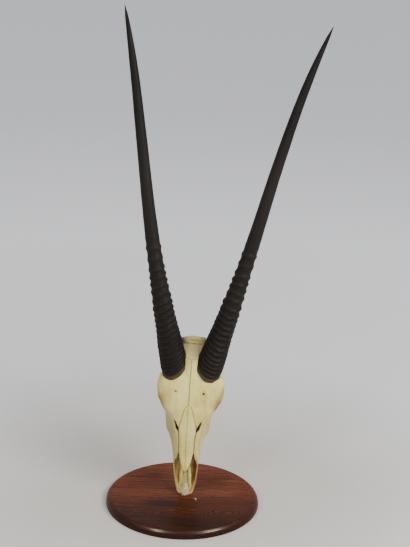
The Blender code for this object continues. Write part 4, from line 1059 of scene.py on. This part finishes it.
# STUDIO --------------------------------------------------------------------------------
# A wide pale floor and soft light: a long box high in front to the right, a smaller and weaker
# one to the left, and pale air all round. Two tall leaning lamps show only as warm gleams in
# the board's varnish.
FLOOR_RADIUS = 30.0  # metres
AIR, AIR_STRENGTH = "#e6e7e9", 0.93
GLEAM_TINT = (1.0, 0.78, 0.60)
LAMPS = (  # place, where it points, width and height, lean in degrees, watts
    ("key", (2.2, -1.95, 2.4), (0.0, 0.0, 0.4), 2.0, 1.0, 0.0, 118.0),
    ("fill", (-1.7, -2.45, 2.1), (0.0, 0.0, 0.4), 1.0, 0.5, 0.0, 26.0),
    ("gleam_right", (1.70, -1.05, 2.38), (0.08, -0.17, 0.01), 0.8, 2.4, -31.0, 285.0),
    ("gleam_left", (-1.34, -1.31, 2.47), (-0.06, -0.18, 0.01), 0.5, 2.4, 26.0, 215.0),
)

turn = np.linspace(0, 2 * np.pi, 64, endpoint=False)
points = FLOOR_RADIUS * np.stack((np.cos(turn), np.sin(turn), 0 * turn), 1)

# Matt pale grey, a little uneven, with a painted shadow round the board, darker and a touch warmer close to
# it.
paint, tree, surface = finish("pale_floor_paint")
place = node(tree, "TexCoord", {}).node.outputs["Object"]
patches = node(tree, "TexNoise", {"Vector": place, "Scale": 1.1, "Detail": 2.0})
patches = node(tree, "MapRange", {"Value": patches, "To Min": -0.3, "To Max": 0.3})
away = node(tree, "VectorMath", {0: place}, operation="LENGTH").node.outputs["Value"]
away = node(tree, "Math", {0: away, 1: patches}, operation="ADD")
away = node(tree, "MapRange", {"Value": away, "From Max": 5.0})
# painted shadow: darkest and warmest next to the board, paler further out
tint = node(tree, "ValToRGB", {"Fac": away}, ramp=(
    (0.06, linear("#cbc5be")), (0.20, linear("#e8e8e8")), (0.50, linear("#fcfcfe")),
    (1.0, linear("#ededef"))))
tree.links.new(tint, surface.inputs["Base Color"])
surface.inputs["Roughness"].default_value = 0.9
mesh = bpy.data.meshes.new("floor")
mesh.from_pydata(points, [], [list(range(len(turn)))])
mesh.materials.append(paint)
ground = bpy.data.objects.new("floor", mesh)
bpy.context.scene.collection.objects.link(ground)

varnished = bpy.data.collections.new("varnished")
varnished.objects.link(board)
for name, at, target, wide, tall, lean, power in LAMPS:
    light = bpy.data.lights.new(name, "AREA")
    light.shape = "RECTANGLE"
    light.size, light.size_y, light.energy = wide, tall, power
    lamp = bpy.data.objects.new(name, light)
    back = np.array(at) - target
    back /= np.linalg.norm(back)
    side = np.cross((0.0, 0.0, 1.0), back)
    side /= np.linalg.norm(side)
    side = side * np.cos(np.radians(lean)) + np.cross(back, side) * np.sin(np.radians(lean))
    place = np.identity(4)
    place[:3] = np.stack((side, np.cross(back, side), back, at), 1)
    lamp.matrix_world = Matrix(place)
    if name.startswith("gleam"):  # seen only as a reflection in the board's varnish
        light.color = GLEAM_TINT
        lamp.visible_diffuse = False
        lamp.light_linking.receiver_collection = varnished
    bpy.context.scene.collection.objects.link(lamp)
room = bpy.data.worlds.new("room")
room.use_nodes = True
room.node_tree.nodes["Background"].inputs["Color"].default_value = linear(AIR)
room.node_tree.nodes["Background"].inputs["Strength"].default_value = AIR_STRENGTH
bpy.context.scene.world = room
